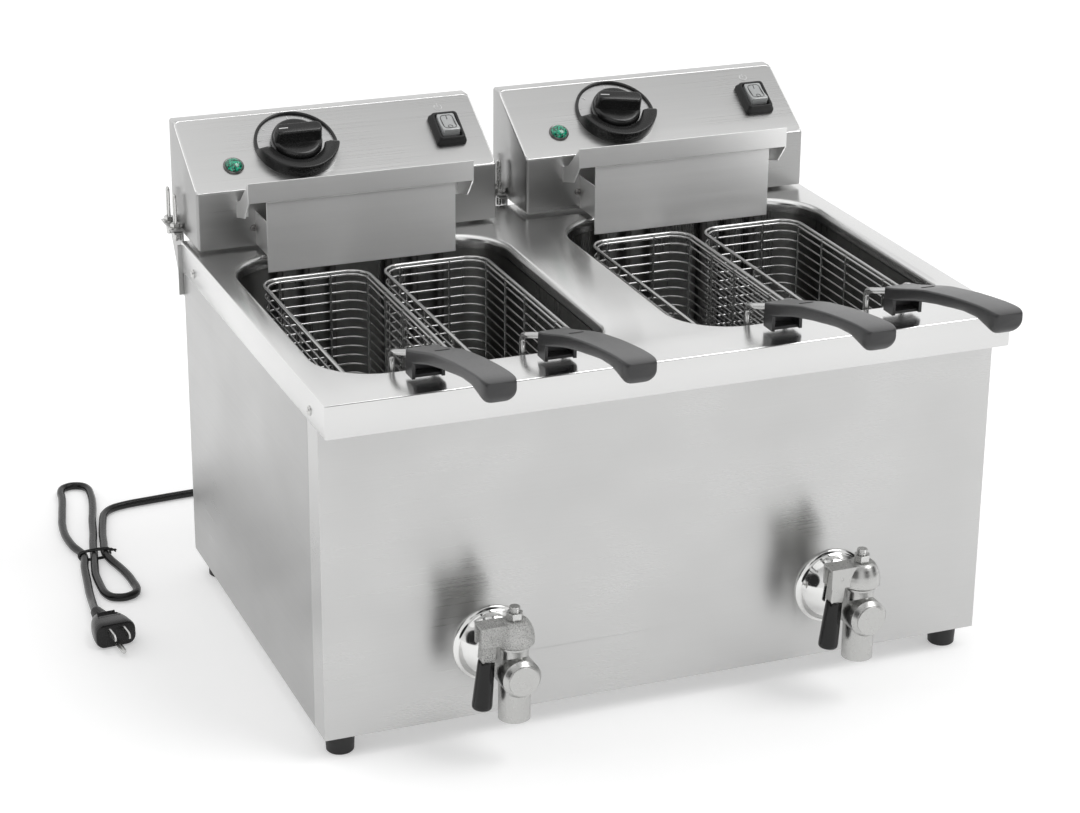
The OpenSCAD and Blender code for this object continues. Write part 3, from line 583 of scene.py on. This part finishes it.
# ---------------------------------------------------------------- deck and tanks
def make_deck():
    deck = Shape()
    edge, hem = 1.4, 1.2
    outline = lambda inset: round_rect(BODY_W - 2 * inset, DECK_D - 2 * inset, max(1.8 - inset, 0.3), 0, DECK_D / 2, 5)
    hole = lambda side, grow: round_rect(
        TANK_W + 2 * grow, TANK_L + 2 * grow, TANK_R + grow, side * UNIT_X, TANK_FRONT + TANK_L / 2, 16)
    verts, faces = sheet_fill([outline(edge), hole(-1, RIM_R), hole(1, RIM_R)], BODY_H, cab_frame(0, 0, 0))
    deck.verts, deck.faces = verts, faces
    arc = [(edge * (1 - math.sin(math.radians(a))), BODY_H - edge * (1 - math.cos(math.radians(a))))
           for a in (0, 22, 45, 68, 90)]
    rings = [[(x, y, z) for x, y in outline(inset)] for inset, z in
             arc + [(0, BODY_H - APRON_H + 0.6), (0.3, BODY_H - APRON_H), (hem, BODY_H - APRON_H),
                    (hem + 0.2, BODY_H - APRON_H + 0.5), (hem + 0.2, BODY_H - 4)]]
    deck.loft(rings, cap_start=False, cap_end=False)
    for side in (-1, 1):
        rim = [(RIM_R * (1 - math.sin(math.radians(a))), BODY_H - RIM_R * (1 - math.cos(math.radians(a))))
               for a in (0, 15, 30, 45, 60, 75, 90)]
        deck.loft([[(x, y, z) for x, y in hole(side, grow)] for grow, z in rim + [(0, BODY_H - 12)]],
                  cap_start=False, cap_end=False)
    return deck.done("deck_sheet", "cabinet", "deck_steel", "deck", "deck", angle=40)


make_deck()


def make_tank(name, side):
    tank = Shape()
    floor_r, floor_z = 14.0, BODY_H - TANK_DEPTH
    outline = lambda inset: round_rect(
        TANK_W - 2 * inset, TANK_L - 2 * inset, TANK_R - inset, side * UNIT_X, TANK_FRONT + TANK_L / 2, 16)
    drain = [(side * UNIT_X + 9.5 * math.cos(a), TANK_FRONT + 36 + 9.5 * math.sin(a))
             for a in (2 * math.pi * k / 32 for k in range(32))]
    verts, faces = sheet_fill([outline(floor_r), drain], floor_z, cab_frame(0, 0, 0))
    tank.verts, tank.faces = verts, faces
    bend = [(floor_r * (1 - math.cos(math.radians(a))), floor_z + floor_r * (1 - math.sin(math.radians(a))))
            for a in (90, 75, 60, 45, 30, 15, 0)]
    levels = bend + [(0, floor_z + 60), (0, floor_z + 61), (0, BODY_H - 11)]
    tank.loft([[(x, y, z) for x, y in outline(inset)] for inset, z in levels], cap_start=False, cap_end=False)
    tank.loft([[(x, y, z) for x, y in drain] for z in (floor_z, floor_z - 6)], cap_start=False, cap_end=False)
    tank.done(name + "_tank_shell", "cabinet", "tank_steel", "tank", name + "_tank", angle=40)


for side_name, side in SIDES:
    make_tank(side_name, side)

for node in ("front_panel", "back_panel"):
    finish_node(node, "front", soften=0.5)
for node in ("left_side_panel", "right_side_panel"):
    finish_node(node, "side", soften=0.35)
finish_node("base_panel", "front")
finish_node("head_brackets", "side", soften=0.3)
finish_node("drain_pipes", "tank")


def make_feet():
    feet = Shape()
    for x in (-275, 275):
        for y in (44, 400):
            feet.lathe([(0, -FOOT_H), (10.4, -FOOT_H), (11.4, -FOOT_H + 1), (11.9, -9), (12.3, -3), (12.5, -1), (12.2, 0),
                        (0, 0)], 40, at=(x, y, 0))
    feet.done("rubber_feet", "cabinet", "foot_rubber", "rubber", "feet", angle=35)


def pan_head(shape, r, h):
    """A domed screw head with a round dished recess, facing along the shape's +Z."""
    profile = [(0.0, 0), (r, 0), (r, 0.3 * h), (r * 0.9, 0.7 * h), (r * 0.66, 0.93 * h), (r * 0.42, h)]
    shape.lathe(profile + [(r * 0.34, h * 0.96), (r * 0.2, h * 0.45), (0.0, h * 0.45)], 32)


def make_screws():
    """Screws that hold the deck's apron, two on each side."""
    screws = Shape()
    for s in (-1, 1):
        for y in (39, 381):
            screws.matrix = (Matrix.Translation(cab(s * BODY_W / 2, y, BODY_H - 18))
                             @ Matrix.Rotation(s * math.pi / 2, 4, "Y") @ Matrix.Scale(MM, 4))
            screws.lathe([(0, 0.0), (4, 0.0), (4, 0.6), (3.6, 0.8), (0, 0.8)], 32)
            pan_head(screws, 3.3, 2.0)
    screws.done("apron_screws", "cabinet", "nut_steel", "nut", "cabinet_screws", angle=40)


make_feet()
make_screws()


# ---------------------------------------------------------------- taps
def make_tap(name, side):
    x = side * UNIT_X
    flange = Shape(cab_frame(x, FRONT_SETBACK, TAP_Z))
    dome = [(33, 0), (33, -1.2), (32.6, -1.8), (31, -2.2), (30, -3.0), (29, -4.6), (27.5, -7.4), (25, -10.8),
            (22, -13.8), (19, -16.2), (16, -17.9), (14.6, -18.6), (13.2, -19), (13.1, 0)]
    flange.lathe(dome, 72, axis="Y")
    nodes = ("tap_flanges",) if side < 0 else ()
    flange.done(name + "_wall_flange", "cabinet", "tap_chrome", "chrome", *nodes, angle=50)
    finish_node(name + "_tap_body", "satin", soften=0.6)
    finish_node(name + "_tap_stem", "nut")
    finish_node(name + "_tap_lever", "cast" if side < 0 else "satin", soften=0.7)
    finish_node(name + "_tap_nut", "nut", soften=0.4)
    # helical threads on the stem's free end
    thread = [(4.0 * math.cos(a), 4.0 * math.sin(a), 51.4 + a / (2 * math.pi) * 1.0)
              for a in (2 * math.pi * k / 20 for k in range(84))]
    wires(name + "_stem_thread", [(thread, 0.42, False)], name + "_tap_valve", "tap_chrome", "nut",
          matrix=cab_frame(x, STEM_Y, TAP_Z), resolution=1)
    pivot = (Matrix.Translation(cab(x - 21.5, STEM_Y, TAP_Z + 35)) @ Matrix.Rotation(math.radians(5.4), 4, "Y")
             @ Matrix.Scale(MM, 4))
    tongue = Shape(pivot)
    disc = [(6 * math.cos(a), 6 * math.sin(a)) for a in (math.pi * k / 14 for k in range(15))]
    outline = disc + [(-6, -21), (-4.6, -23), (4.6, -23), (6, -21)]
    tongue.loft([[(px, y, pz) for px, pz in outline] for y in (-5, 5)])
    tongue.done(name + "_tap_tongue", name + "_tap_handle", "cast_metal", "cast" if side < 0 else "satin", name + "_tap_handle",
                angle=30, bevel=0.6)
    sleeve = Shape(pivot)
    sleeve.lathe([(0, -64), (6.4, -64), (7.5, -63.5), (8.1, -62.4), (8.25, -60), (7.7, -45), (7.1, -30), (6.75, -23.2),
                  (6.4, -22.3), (5.6, -22), (0, -22)], 48)
    sleeve.done(name + "_tap_grip", name + "_tap_handle", "tap_handle_plastic", "gloss", angle=50)


for side_name, side in SIDES:
    make_tap(side_name, side)
finish_node("tap_caps", "satin", soften=0.25)


# ---------------------------------------------------------------- control heads
def at_angle(r, degrees):
    return r * math.cos(math.radians(degrees)), r * math.sin(math.radians(degrees))


def inset_outline(points, d):
    """A counter-clockwise polygon of (y, z) with every edge moved in by d."""
    out = []
    for i, p in enumerate(points):
        a, b, c = Vector(points[i - 1]), Vector(p), Vector(points[(i + 1) % len(points)])
        u, v = (b - a).normalized(), (c - b).normalized()
        n, m = Vector((-u.y, u.x)), Vector((-v.y, v.x))
        out.append(b + (n + m) * (d / (1 + n.dot(m))))
    return out


def make_head_shell(name, side, body):
    """Folded sheet with rounded bends: front face, sloping panel, top and both cheeks, open at the back."""
    half, fold = 138.0, 2.4
    back = HEAD_FRONT + HEAD_D
    outline = [(back, HEAD_Z), (back, PANEL_Z + PANEL_RISE), (HEAD_FRONT + PANEL_RUN, PANEL_Z + PANEL_RISE),
               (HEAD_FRONT, PANEL_Z), (HEAD_FRONT, HEAD_Z)]
    shell = Shape(cab_frame(side * UNIT_X, 0, 0))
    rings = []
    turns = [math.radians(a) for a in (0, 18, 36, 54, 72, 90)]
    stations = [(-half + fold * (1 - math.cos(a)), fold * (1 - math.sin(a))) for a in turns]
    for x, d in stations + [(-x, d) for x, d in reversed(stations)]:
        corners = [Vector((x, *p)) for p in inset_outline(outline, d)]
        middle = []
        for corner in fillet(corners, max(fold - d, 0.3), 5, closed=False):
            middle.append(tuple(corner))
        rings.append(middle)
    shell.loft(rings, closed=False)
    # the strip between the two middle rings starts with the back wall, where the cover lies
    del shell.faces[(len(rings) // 2 - 1) * (len(rings[0]) - 1)]
    for s in (-1, 1):
        x0, x1 = sorted((s * (half - 1), s * (half + 11)))
        shell.block((x0, 424, BODY_H + 7.3), (x1, back - 2, BODY_H + 8.6))
    shell.done(name + "_head_skin", body, "panel_steel", "head", name + "_head_shell", angle=35)
    length = math.hypot(PANEL_RUN, PANEL_RISE)
    # painted highlight: a thin bright rod round the sloping panel's border stands for the fold's highlight
    bend = [(x, y, -0.35) for x, y in round_rect(2 * half - 1.6, length - 1.4, 5.5, 0, length / 2, 6)]
    wires(name + "_panel_bend_highlight", [(bend, 0.6, True)], body, "panel_steel", "bend", matrix=panel_frame(side, 0, 0),
          resolution=2)


def make_bezel(name, side, body):
    """A thin black ring that swells into a tall crescent below the knob, round a silver face."""
    at = panel_frame(side, -36.5, 45)
    ring = Shape(at)
    sections, steps = [], 120
    for k in range(steps):
        degrees = 360 * k / steps
        # 1 in the crescent, 0 along the thin ring
        away = abs((degrees - 270 + 180) % 360 - 180)
        swell = min(1, max(0, (86 - away) / 14))
        swell = swell * swell * (3 - 2 * swell)
        inner, height = lerp(34.6, 24.4, swell), lerp(4.2, 12.6, swell)
        dip = lerp(height - 0.6, 9.0, swell)
        section = [(37.5, 0.0), (37.5, height - 1.2), (37.0, height - 0.3), (36.2, height),
                   (inner + 1.2, dip + 0.4), (inner + 0.3, dip), (inner, dip - 0.6), (inner, 1.6)]
        sections.append([(*at_angle(r, degrees), h) for r, h in section])
    sections.append(sections[0])
    ring.loft(sections, cap_start=False, cap_end=False, closed=False)
    ring.done(name + "_dial_ring", body, "bezel_plastic", "bezel", name + "_dial_bezel", angle=45)
    face = Shape(at)
    face.lathe([(0, 1.6), (35.2, 1.6), (35.4, 1.4), (35.4, 0.2)], 72)
    face.done(name + "_dial_face", body, "bezel_plastic", "dial", angle=45)
    marks = []
    for k in range(9):
        degrees = -12 + 204 * k / 8
        long = k % 2 == 0
        a, b = at_angle(33.2, degrees), at_angle(29.8 if long else 31.4, degrees)
        marks.append(([(*a, 1.75), (*b, 1.75)], 0.42 if long else 0.28, False))
    wires(name + "_dial_marks", marks, body, "bezel_plastic", "print", matrix=at, resolution=1)


def make_knob(name, side):
    spin = math.radians(-10 if side > 0 else 0)
    at = panel_frame(side, -36.5, 45) @ Matrix.Rotation(spin, 4, "Z")
    knob = Shape(at)
    knob.lathe([(0, 3.4), (22.2, 3.4), (22.9, 4.2), (22.6, 8), (21.9, 10.6), (20.8, 11.8), (19, 12.2), (12, 12.0), (0, 11.8)], 72)
    # bar grip with hollow cheeks and a rounded top
    rings = []
    for z, w, l, r in ((9, 16.5, 43.5, 6), (12.5, 14.4, 43, 5), (15, 12.8, 42.4, 4.5), (18, 12.0, 41.6, 4.2),
                       (21, 12.0, 41, 4.2), (22.8, 11.6, 40.4, 4.2), (23.7, 10.4, 39.2, 4), (24, 8.4, 37, 3.4)):
        rings.append([(x, y, z) for x, y in round_rect(l, w, r, steps=6)])
    knob.loft(rings)
    knob.lathe([(0, -17), (2.6, -17), (3, -16.5), (3, 3.6), (0, 3.6)], 24)
    knob.done(name + "_knob_moulding", name + "_knob", "knob_plastic", "knob", name + "_knob", angle=48)
    wires(name + "_knob_pointer", [([(-18.6, 0, 24.0), (-10.5, 0, 24.05)], 0.5, False)],
          name + "_knob", "knob_plastic", "print", matrix=at, resolution=1)


def make_switch(name, side, body):
    at = panel_frame(side, 104.5, 44)
    boot = Shape(at)
    rings = []
    for z, w, l, r in ((0, 28, 36, 3.5), (2.6, 28, 36, 3.5), (3.8, 27.2, 35.2, 3.4), (4.4, 25.6, 33.6, 3.2),
                       (7.4, 24.4, 32.4, 3.2), (8.4, 23.2, 31.2, 3), (8.7, 21.4, 29.4, 2.6), (8.2, 19.4, 27.4, 2),
                       (7.4, 18.4, 26.4, 1.6), (-6, 18.2, 26.2, 1.5), (-10, 18, 26, 1.4)):
        rings.append([(x, y, z) for x, y in round_rect(w, l, r, steps=6)])
    boot.loft(rings, cap_start=True, cap_end=True)
    boot.done(name + "_switch_cover", body, "boot_rubber", "rubber", name + "_switch_boot", angle=50)
    tilt = at @ Matrix.Translation((0, 0, 1)) @ Matrix.Rotation(math.radians(-8), 4, "X")
    key = Shape(tilt)
    dish = lambda y: 42 - math.sqrt(33 ** 2 - y * y)
    rings = []
    for k in range(25):
        y = lerp(-11.2, 11.2, k / 24)
        end = (1.1, 0.4, 0.1)[min(k, 24 - k)] if min(k, 24 - k) < 3 else 0.0
        low, top, half = max(-6.0, abs(y) - 10.0), dish(y) - end, 8.3 - end * 0.6
        rings.append([(-half, y, low), (half, y, low), (half, y, top - 1.2), (half - 0.35, y, top - 0.35),
                      (half - 1.2, y, top), (-half + 1.2, y, top), (-half + 0.35, y, top - 0.35), (-half, y, top - 1.2)])
    key.loft(rings)
    key.lathe([(0, -8.7), (2, -8.7), (2, 8.7), (0, 8.7)], 24, axis="X")
    key.done(name + "_rocker_key", name + "_rocker", "rocker_plastic", "rocker", name + "_rocker", angle=40)
    top = lambda y: dish(y) + 0.05
    circle = [(2.0 * math.cos(a), -6.2 + 2.2 * math.sin(a), top(-6.2 + 2.2 * math.sin(a)))
              for a in (2 * math.pi * k / 24 for k in range(24))]
    bar = [(0, y, top(y)) for y in (4.2, 6.2, 8.2)]
    frame_line = [(x, y, top(y) - 0.1) for x, y in round_rect(11.6, 17.6, 3.2, steps=8)]
    frame_line = fillet([Vector(p) for p in frame_line], 0.2, 2, closed=True)
    wires(name + "_rocker_marks", [(circle, 0.34, True), (bar, 0.4, False), (frame_line, 0.42, True)],
          name + "_rocker", "rocker_plastic", "ink_soft", matrix=tilt, resolution=1)
    # generic power mark above the switch: an open ring with a bar
    ring = [(*at_angle(3.4, 125 + 290 * k / 24), 0.12) for k in range(25)]
    ring = [(x, y + 29, z) for x, y, z in ring]
    wires(name + "_power_mark", [(ring, 0.3, False), ([(0, 29.6, 0.12), (0, 33.4, 0.12)], 0.3, False)], body,
          "bezel_plastic", "print", matrix=at, resolution=1)


def make_lamp(name, side, body):
    at = panel_frame(side, -97.5, 28)
    rim = Shape(at)
    rim.lathe([(6.2, -1), (9.0, 0), (9.2, 0.9), (8.9, 1.7), (8.3, 2.2), (7.7, 2.0), (7.4, 1.2)], 48)
    rim.done(name + "_lamp_rim", body, "tap_chrome", "element", angle=50)
    lens = Shape(at)
    profile = [(7.6, 0.6)] + [(7.6 * math.cos(math.radians(a)), 1.4 + 4.6 * math.sin(math.radians(a)))
                              for a in range(0, 91, 9)]
    lens.lathe(profile, 48)
    lens.done(name + "_lamp_lens", body, "lamp_lens", "lamp", name + "_pilot_lamp", angle=60)


def make_element(name, side, body):
    leg_top, depth = HEAD_Z + 14, BASKET_TOP - BASKET_H - 3.55
    back = 349.5
    paths = []
    for x in (26, 50, 74):
        loop = [(-x, HEAD_FRONT + 20, leg_top), (-x, back, leg_top), (-x, back, depth), (-x, 150 - x, depth),
                (x, 150 - x, depth), (x, back, depth), (x, back, leg_top), (x, HEAD_FRONT + 20, leg_top)]
        paths.append((fillet(loop, 11, 6), 3.25, False))
    wires(name + "_element_tubes", paths, body, "element_steel", "element", name + "_heating_element",
          matrix=cab_frame(side * UNIT_X, 0, 0), resolution=4)
    straps = Shape(cab_frame(side * UNIT_X, 0, 0))
    for y in (160, 300):
        straps.block((-80, y - 6, depth - 4.45), (80, y + 6, depth - 3.1))
    straps.block((-84, HEAD_FRONT + 12, leg_top - 8), (84, HEAD_FRONT + 22, leg_top + 8))
    straps.done(name + "_element_straps", body, "element_steel", "tank", angle=30, bevel=0.4)


def make_wing_screws(name, side, body):
    paths, nuts = [], Shape()
    for s in (-1, 1):
        for y in (434, 457):
            x, z = side * UNIT_X + s * 143.5, BODY_H + 8.6
            loop = [(x, y - 1.6, z + 2), (x, y - 3.1, z + 7), (x, y - 3.1, z + 26), (x, y - 1.8, z + 29.6),
                    (x, y + 1.8, z + 29.6), (x, y + 3.1, z + 26), (x, y + 3.1, z + 7), (x, y + 1.6, z + 2)]
            paths.append((smooth([Vector(p) for p in loop], 5), 1.1, False))
            nuts.lathe([(0, -12), (2.1, -12), (2.5, -11.4), (2.5, 0.2), (0, 0.2)], 24, at=(x, y, z))
            nuts.lathe([(0, 0.0), (5.6, 0.0), (5.6, 0.8), (0, 0.8)], 32, at=(x, y, z))
            nuts.lathe([(0, 0.8), (4.3, 0.8), (4.6, 1.1), (4.6, 3.6), (4.2, 4.0), (0, 4.0)], hexagon=True, at=(x, y, z))
    wires(name + "_wing_loops", paths, body, "nut_steel", "nut", name + "_wing_screws")
    nuts.done(name + "_wing_nuts", body, "nut_steel", "nut", angle=30)


def make_face_screw(name, side, body):
    screw = Shape(Matrix.Translation(unit(side, -88, HEAD_FRONT, BODY_H + 19)) @ Matrix.Rotation(math.pi / 2, 4, "X")
                  @ Matrix.Scale(MM, 4))
    pan_head(screw, 3.0, 1.8)
    screw.done(name + "_face_screw", body, "nut_steel", "element", angle=40)


for side_name, side in SIDES:
    head = side_name + "_head"
    make_head_shell(side_name, side, head)
    finish_node(side_name + "_head_cover", "front")
    finish_node(side_name + "_basket_hanger", "hanger", soften=0.35)
    finish_node(side_name + "_guard_plate", "guard", soften=0.3)
    finish_node(side_name + "_thermostat", "ceramic", soften=0.5)
    make_bezel(side_name, side, head)
    make_knob(side_name, side)
    make_switch(side_name, side, head)
    make_lamp(side_name, side, head)
    make_element(side_name, side, head)
    make_wing_screws(side_name, side, head)
    make_face_screw(side_name, side, head)


# ---------------------------------------------------------------- baskets and grips
def basket_loop(w, l, r, z, middle_y):
    return [(x, y, z) for x, y in round_rect(w, l, r, 0, middle_y, 6)]


def make_basket(number):
    body = f"basket_{number + 1}"
    x = (-1 if number < 2 else 1) * UNIT_X + BASKET_SHIFT + (number % 2 - 0.5) * BASKET_PITCH
    middle = BASKET_FRONT + BASKET_L / 2
    top, bottom = BASKET_TOP, BASKET_TOP - BASKET_H
    rows, thin, thick = 14, 0.95, 1.25
    paths = [(basket_loop(BASKET_W - 3.0, BASKET_L - 3.0, 18, top - 1.6, middle), 1.6, True),
             (basket_loop(BASKET_W - 8.6, BASKET_L - 8.6, 15.6, top - 3.6, middle), 1.2, True)]
    for k in range(rows):
        z = lerp(top - 11.5, bottom + 3.4, k / (rows - 1))
        paths.append((basket_loop(BASKET_W - 2 * thin - 2.2, BASKET_L - 2 * thin - 2.2, 17, z, middle), thin, True))
    inner_x, inner_y = BASKET_W / 2 - 4.2, BASKET_L / 2 - 4.2
    # uprights that run down one side, under the floor and up the other
    for u in (-30, 15.5):
        loop = [(u, middle - inner_y, top - 2), (u, middle - inner_y, bottom + 2.8), (u, middle + inner_y, bottom + 2.8),
                (u, middle + inner_y, top - 2)]
        paths.append((fillet(loop, 5, 4), thick, False))
    for v in (-110, -52, 18, 64, 111):
        loop = [(-inner_x, middle + v, top - 2), (-inner_x, middle + v, bottom + 2.0), (inner_x, middle + v, bottom + 2.0),
                (inner_x, middle + v, top - 2)]
        paths.append((fillet(loop, 5, 4), thick, False))
    for k in range(10):
        u = lerp(-39, 39, k / 9)
        paths.append(([(u, middle - inner_y - 2, bottom + 1.3), (u, middle + inner_y + 2, bottom + 1.3)], thin, False))
    for k in range(5):
        v = lerp(-88, 88, k / 4)
        paths.append(([(-inner_x - 2, middle + v, bottom + 1.1), (inner_x + 2, middle + v, bottom + 1.1)], thin, False))
    # handle bracket: one bent rod, down both sides of the grip's root and across below
    z = BODY_H
    bracket = [(-5.5, 26, z + 21.5), (-8, 36, z + 19.5), (-17, 50, z + 16), (-17, 61.2, z + 12.5), (-17, 61.2, z - 66),
               (17, 61.2, z - 66), (17, 61.2, z + 12.5), (17, 50, z + 16), (8, 36, z + 19.5), (5.5, 26, z + 21.5)]
    paths.append((fillet(bracket, 7, 5), 2.75, False))
    paths.append(([(-24, 64.4, top - 6), (24, 64.4, top - 6)], 1.4, False))
    wires(f"basket_wires_{number + 1}", paths, body, "chrome_wire", "wire", body, matrix=cab_frame(x, 0, 0), resolution=2)
    make_grip(number, x, body)


GRIP_TOP = [(44, 19), (41.5, 21.6), (37, 23.2), (30, 24.6), (18, 28), (5, 32), (-10, 36.6), (-25, 40.8), (-45, 45),
            (-65, 49), (-85, 52.3), (-105, 55.2), (-118, 56.6), (-125.5, 57)]
GRIP_LOW = [(44, 13), (41.5, 12), (37, 12), (30, 13), (18, 16.6), (5, 21), (-10, 26), (-25, 30), (-45, 34.8),
            (-65, 38.8), (-85, 42), (-105, 43.4), (-114, 41.0), (-125.5, 38)]
NOSE = (-125.5, 47.5, 9.5)


def along(points, y):
    """Height at y on a polyline of (y, z) points with y falling."""
    for (ya, za), (yb, zb) in zip(points, points[1:]):
        if y >= yb:
            return lerp(za, zb, (ya - y) / (ya - yb))
    return points[-1][1]


def grip_section(y, middle, width, height, top_r, low_r):
    """A ring whose lower corners can be rounder than its upper ones."""
    ring = []
    for sx, sz, start, r in ((1, -1, -90, low_r), (1, 1, 0, top_r), (-1, 1, 90, top_r), (-1, -1, 180, low_r)):
        for k in range(7):
            a = math.radians(start + 15 * k)
            ring.append((sx * (width / 2 - r) + r * math.cos(a), y, middle + sz * (height / 2 - r) + r * math.sin(a)))
    return ring


def make_grip(number, x, body):
    grip = Shape(cab_frame(x, 0, BODY_H))
    rings = []
    ys = [38, 37.4, 36.4, 35] + [34 - 5.0 * k for k in range(32)] + [-123]
    for y in ys:
        high, low = along(GRIP_TOP, y), along(GRIP_LOW, y)
        width = 27 - (1.6 if y == 38 else 0.7 if y > 37 else 0)
        most = (high - low) / 2 - 0.4
        low_r = lerp(2.4, 8.5, min(1, max(0, (-60 - y) / 55)))
        rings.append(grip_section(y, (high + low) / 2, width, high - low, min(2.0, most), min(low_r, most)))
    for k in range(1, 9):
        a = math.radians(10 * k)
        drop, reach = 1.6 * (1 - math.cos(a)), NOSE[2] * math.sin(a)
        high, low = 57 - drop, 38 + (19 - drop) * 0.55 * (1 - math.cos(a))
        width = 27 - 6.5 * (1 - math.cos(a))
        most = (high - low) / 2 - 0.3
        rings.append(grip_section(NOSE[0] - reach, (high + low) / 2, width, high - low, min(2.0 + 0.8 * math.sin(a), most),
                                  min(8.5, most)))
    grip.loft(rings)
    # hook block under the root, hollow towards the front
    wall, y0, y1, z0, z1 = 2.6, 22.0, 37.6, 3.0, 16.5
    outer = [(-13.4, y0), (-13.4, y1), (13.4, y1), (13.4, y0)]
    inner = [(-13.4 + wall, y0), (-13.4 + wall, y1 - wall), (13.4 - wall, y1 - wall), (13.4 - wall, y0)]
    section = outer + inner[::-1]
    grip.loft([[(px, py, z) for px, py in section] for z in (z0, z0 + 0.7, z1)])
    grip.block((-13.4 + wall - 0.2, y0 + 3, z0), (13.4 - wall + 0.2, y1 - wall + 0.2, z0 + 2.4))
    grip.done(f"grip_moulding_{number + 1}", body, "grip_plastic", "grip", f"grip_{number + 1}", angle=42)
    # a dark plug on the grip's top: painted shade standing for the slot's hollow
    recess = Shape(cab_frame(x, 0, BODY_H))
    y = -9.0
    z = along(GRIP_TOP, y) + 0.3
    tilt = (along(GRIP_TOP, y - 2) - along(GRIP_TOP, y + 2)) / 4
    slot = [(px, y + py, z - tilt * py) for px, py in round_rect(12, 5.0, 2.3, steps=5)]
    recess.loft([[(px, py, pz - 1.5) for px, py, pz in slot], slot])
    recess.done(f"grip_slot_{number + 1}", body, "grip_plastic", "slot_painted_shade", angle=40)


for basket_number in range(4):
    make_basket(basket_number)


# ---------------------------------------------------------------- studio
def make_studio():
    floor_mesh = bpy.data.meshes.new("floor")
    half = 14.0
    floor_mesh.from_pydata([(-half, -half, 0), (half, -half, 0), (half, half, 0), (-half, half, 0)], [], [(0, 1, 2, 3)])
    floor = bpy.data.objects.new("floor", floor_mesh)
    bpy.context.collection.objects.link(floor)
    pale = Nodes("floor_paper")
    cloud = pale.noise(1.5, detail=1.0)
    pale.link(pale.mix(cloud, (0.78, 0.78, 0.78), (0.8, 0.8, 0.8)), "Base Color")
    pale.put(Roughness=0.8, Specular_IOR_Level=0.1, Emission_Color=(1, 1, 1, 1), Emission_Strength=0.34)
    floor_mesh.materials.append(pale.mat)

    world = bpy.data.worlds.new("studio")
    bpy.context.scene.world = world
    world.use_nodes = True
    tree = world.node_tree
    background = tree.nodes["Background"]
    direction = tree.nodes.new("ShaderNodeTexCoord").outputs["Generated"]
    split = tree.nodes.new("ShaderNodeSeparateXYZ")
    ramp = tree.nodes.new("ShaderNodeValToRGB")
    tree.links.new(direction, split.inputs[0])
    rise = tree.nodes.new("ShaderNodeMapRange")
    rise.inputs[1].default_value, rise.inputs[2].default_value = -1.0, 1.0
    tree.links.new(split.outputs["Z"], rise.inputs[0])
    tree.links.new(rise.outputs[0], ramp.inputs["Fac"])
    stops = ramp.color_ramp.elements
    stops[0].position, stops[0].color = 0.0, (1, 1, 1, 1)
    stops[1].position, stops[1].color = 1.0, (0.8, 0.8, 0.8, 1)
    for place, grey in ((0.5, 1.0), (0.72, 0.95), (0.9, 0.62)):
        stops.new(place).color = (grey, grey, grey, 1)
    # dark cards that only curved bright metal picks up
    shade = ramp.outputs["Color"]
    for card, spread in (((-0.86, -0.42, 0.28), 0.94), ((0.2, -0.9, 0.4), 0.965), ((0.93, -0.28, 0.22), 0.96)):
        facing = tree.nodes.new("ShaderNodeVectorMath")
        facing.operation = "DOT_PRODUCT"
        facing.inputs[1].default_value = Vector(card).normalized()
        tree.links.new(direction, facing.inputs[0])
        edge = tree.nodes.new("ShaderNodeMapRange")
        edge.inputs[1].default_value, edge.inputs[2].default_value = spread - 0.02, spread
        tree.links.new(facing.outputs["Value"], edge.inputs[0])
        cover = tree.nodes.new("ShaderNodeMix")
        cover.data_type = "RGBA"
        tree.links.new(edge.outputs[0], cover.inputs["Factor"])
        tree.links.new(shade, cover.inputs[6])
        cover.inputs[7].default_value = (0.03, 0.03, 0.03, 1)
        shade = cover.outputs[2]
    tree.links.new(shade, background.inputs["Color"])
    background.inputs["Strength"].default_value = 0.95

    def sun(name, direction, strength, spread):
        light = bpy.data.lights.new(name, "SUN")
        light.energy, light.angle = strength, math.radians(spread)
        obj = bpy.data.objects.new(name, light)
        obj.rotation_mode = "QUATERNION"
        obj.rotation_quaternion = Vector(direction).to_track_quat("Z", "Y")
        bpy.context.collection.objects.link(obj)

    sun("key", (0.5, -0.35, 0.85), 1.1, 35)
    sun("fill", (-0.4, 0.2, 0.9), 0.35, 60)
    bpy.context.scene.view_settings.view_transform = "Standard"


make_studio()
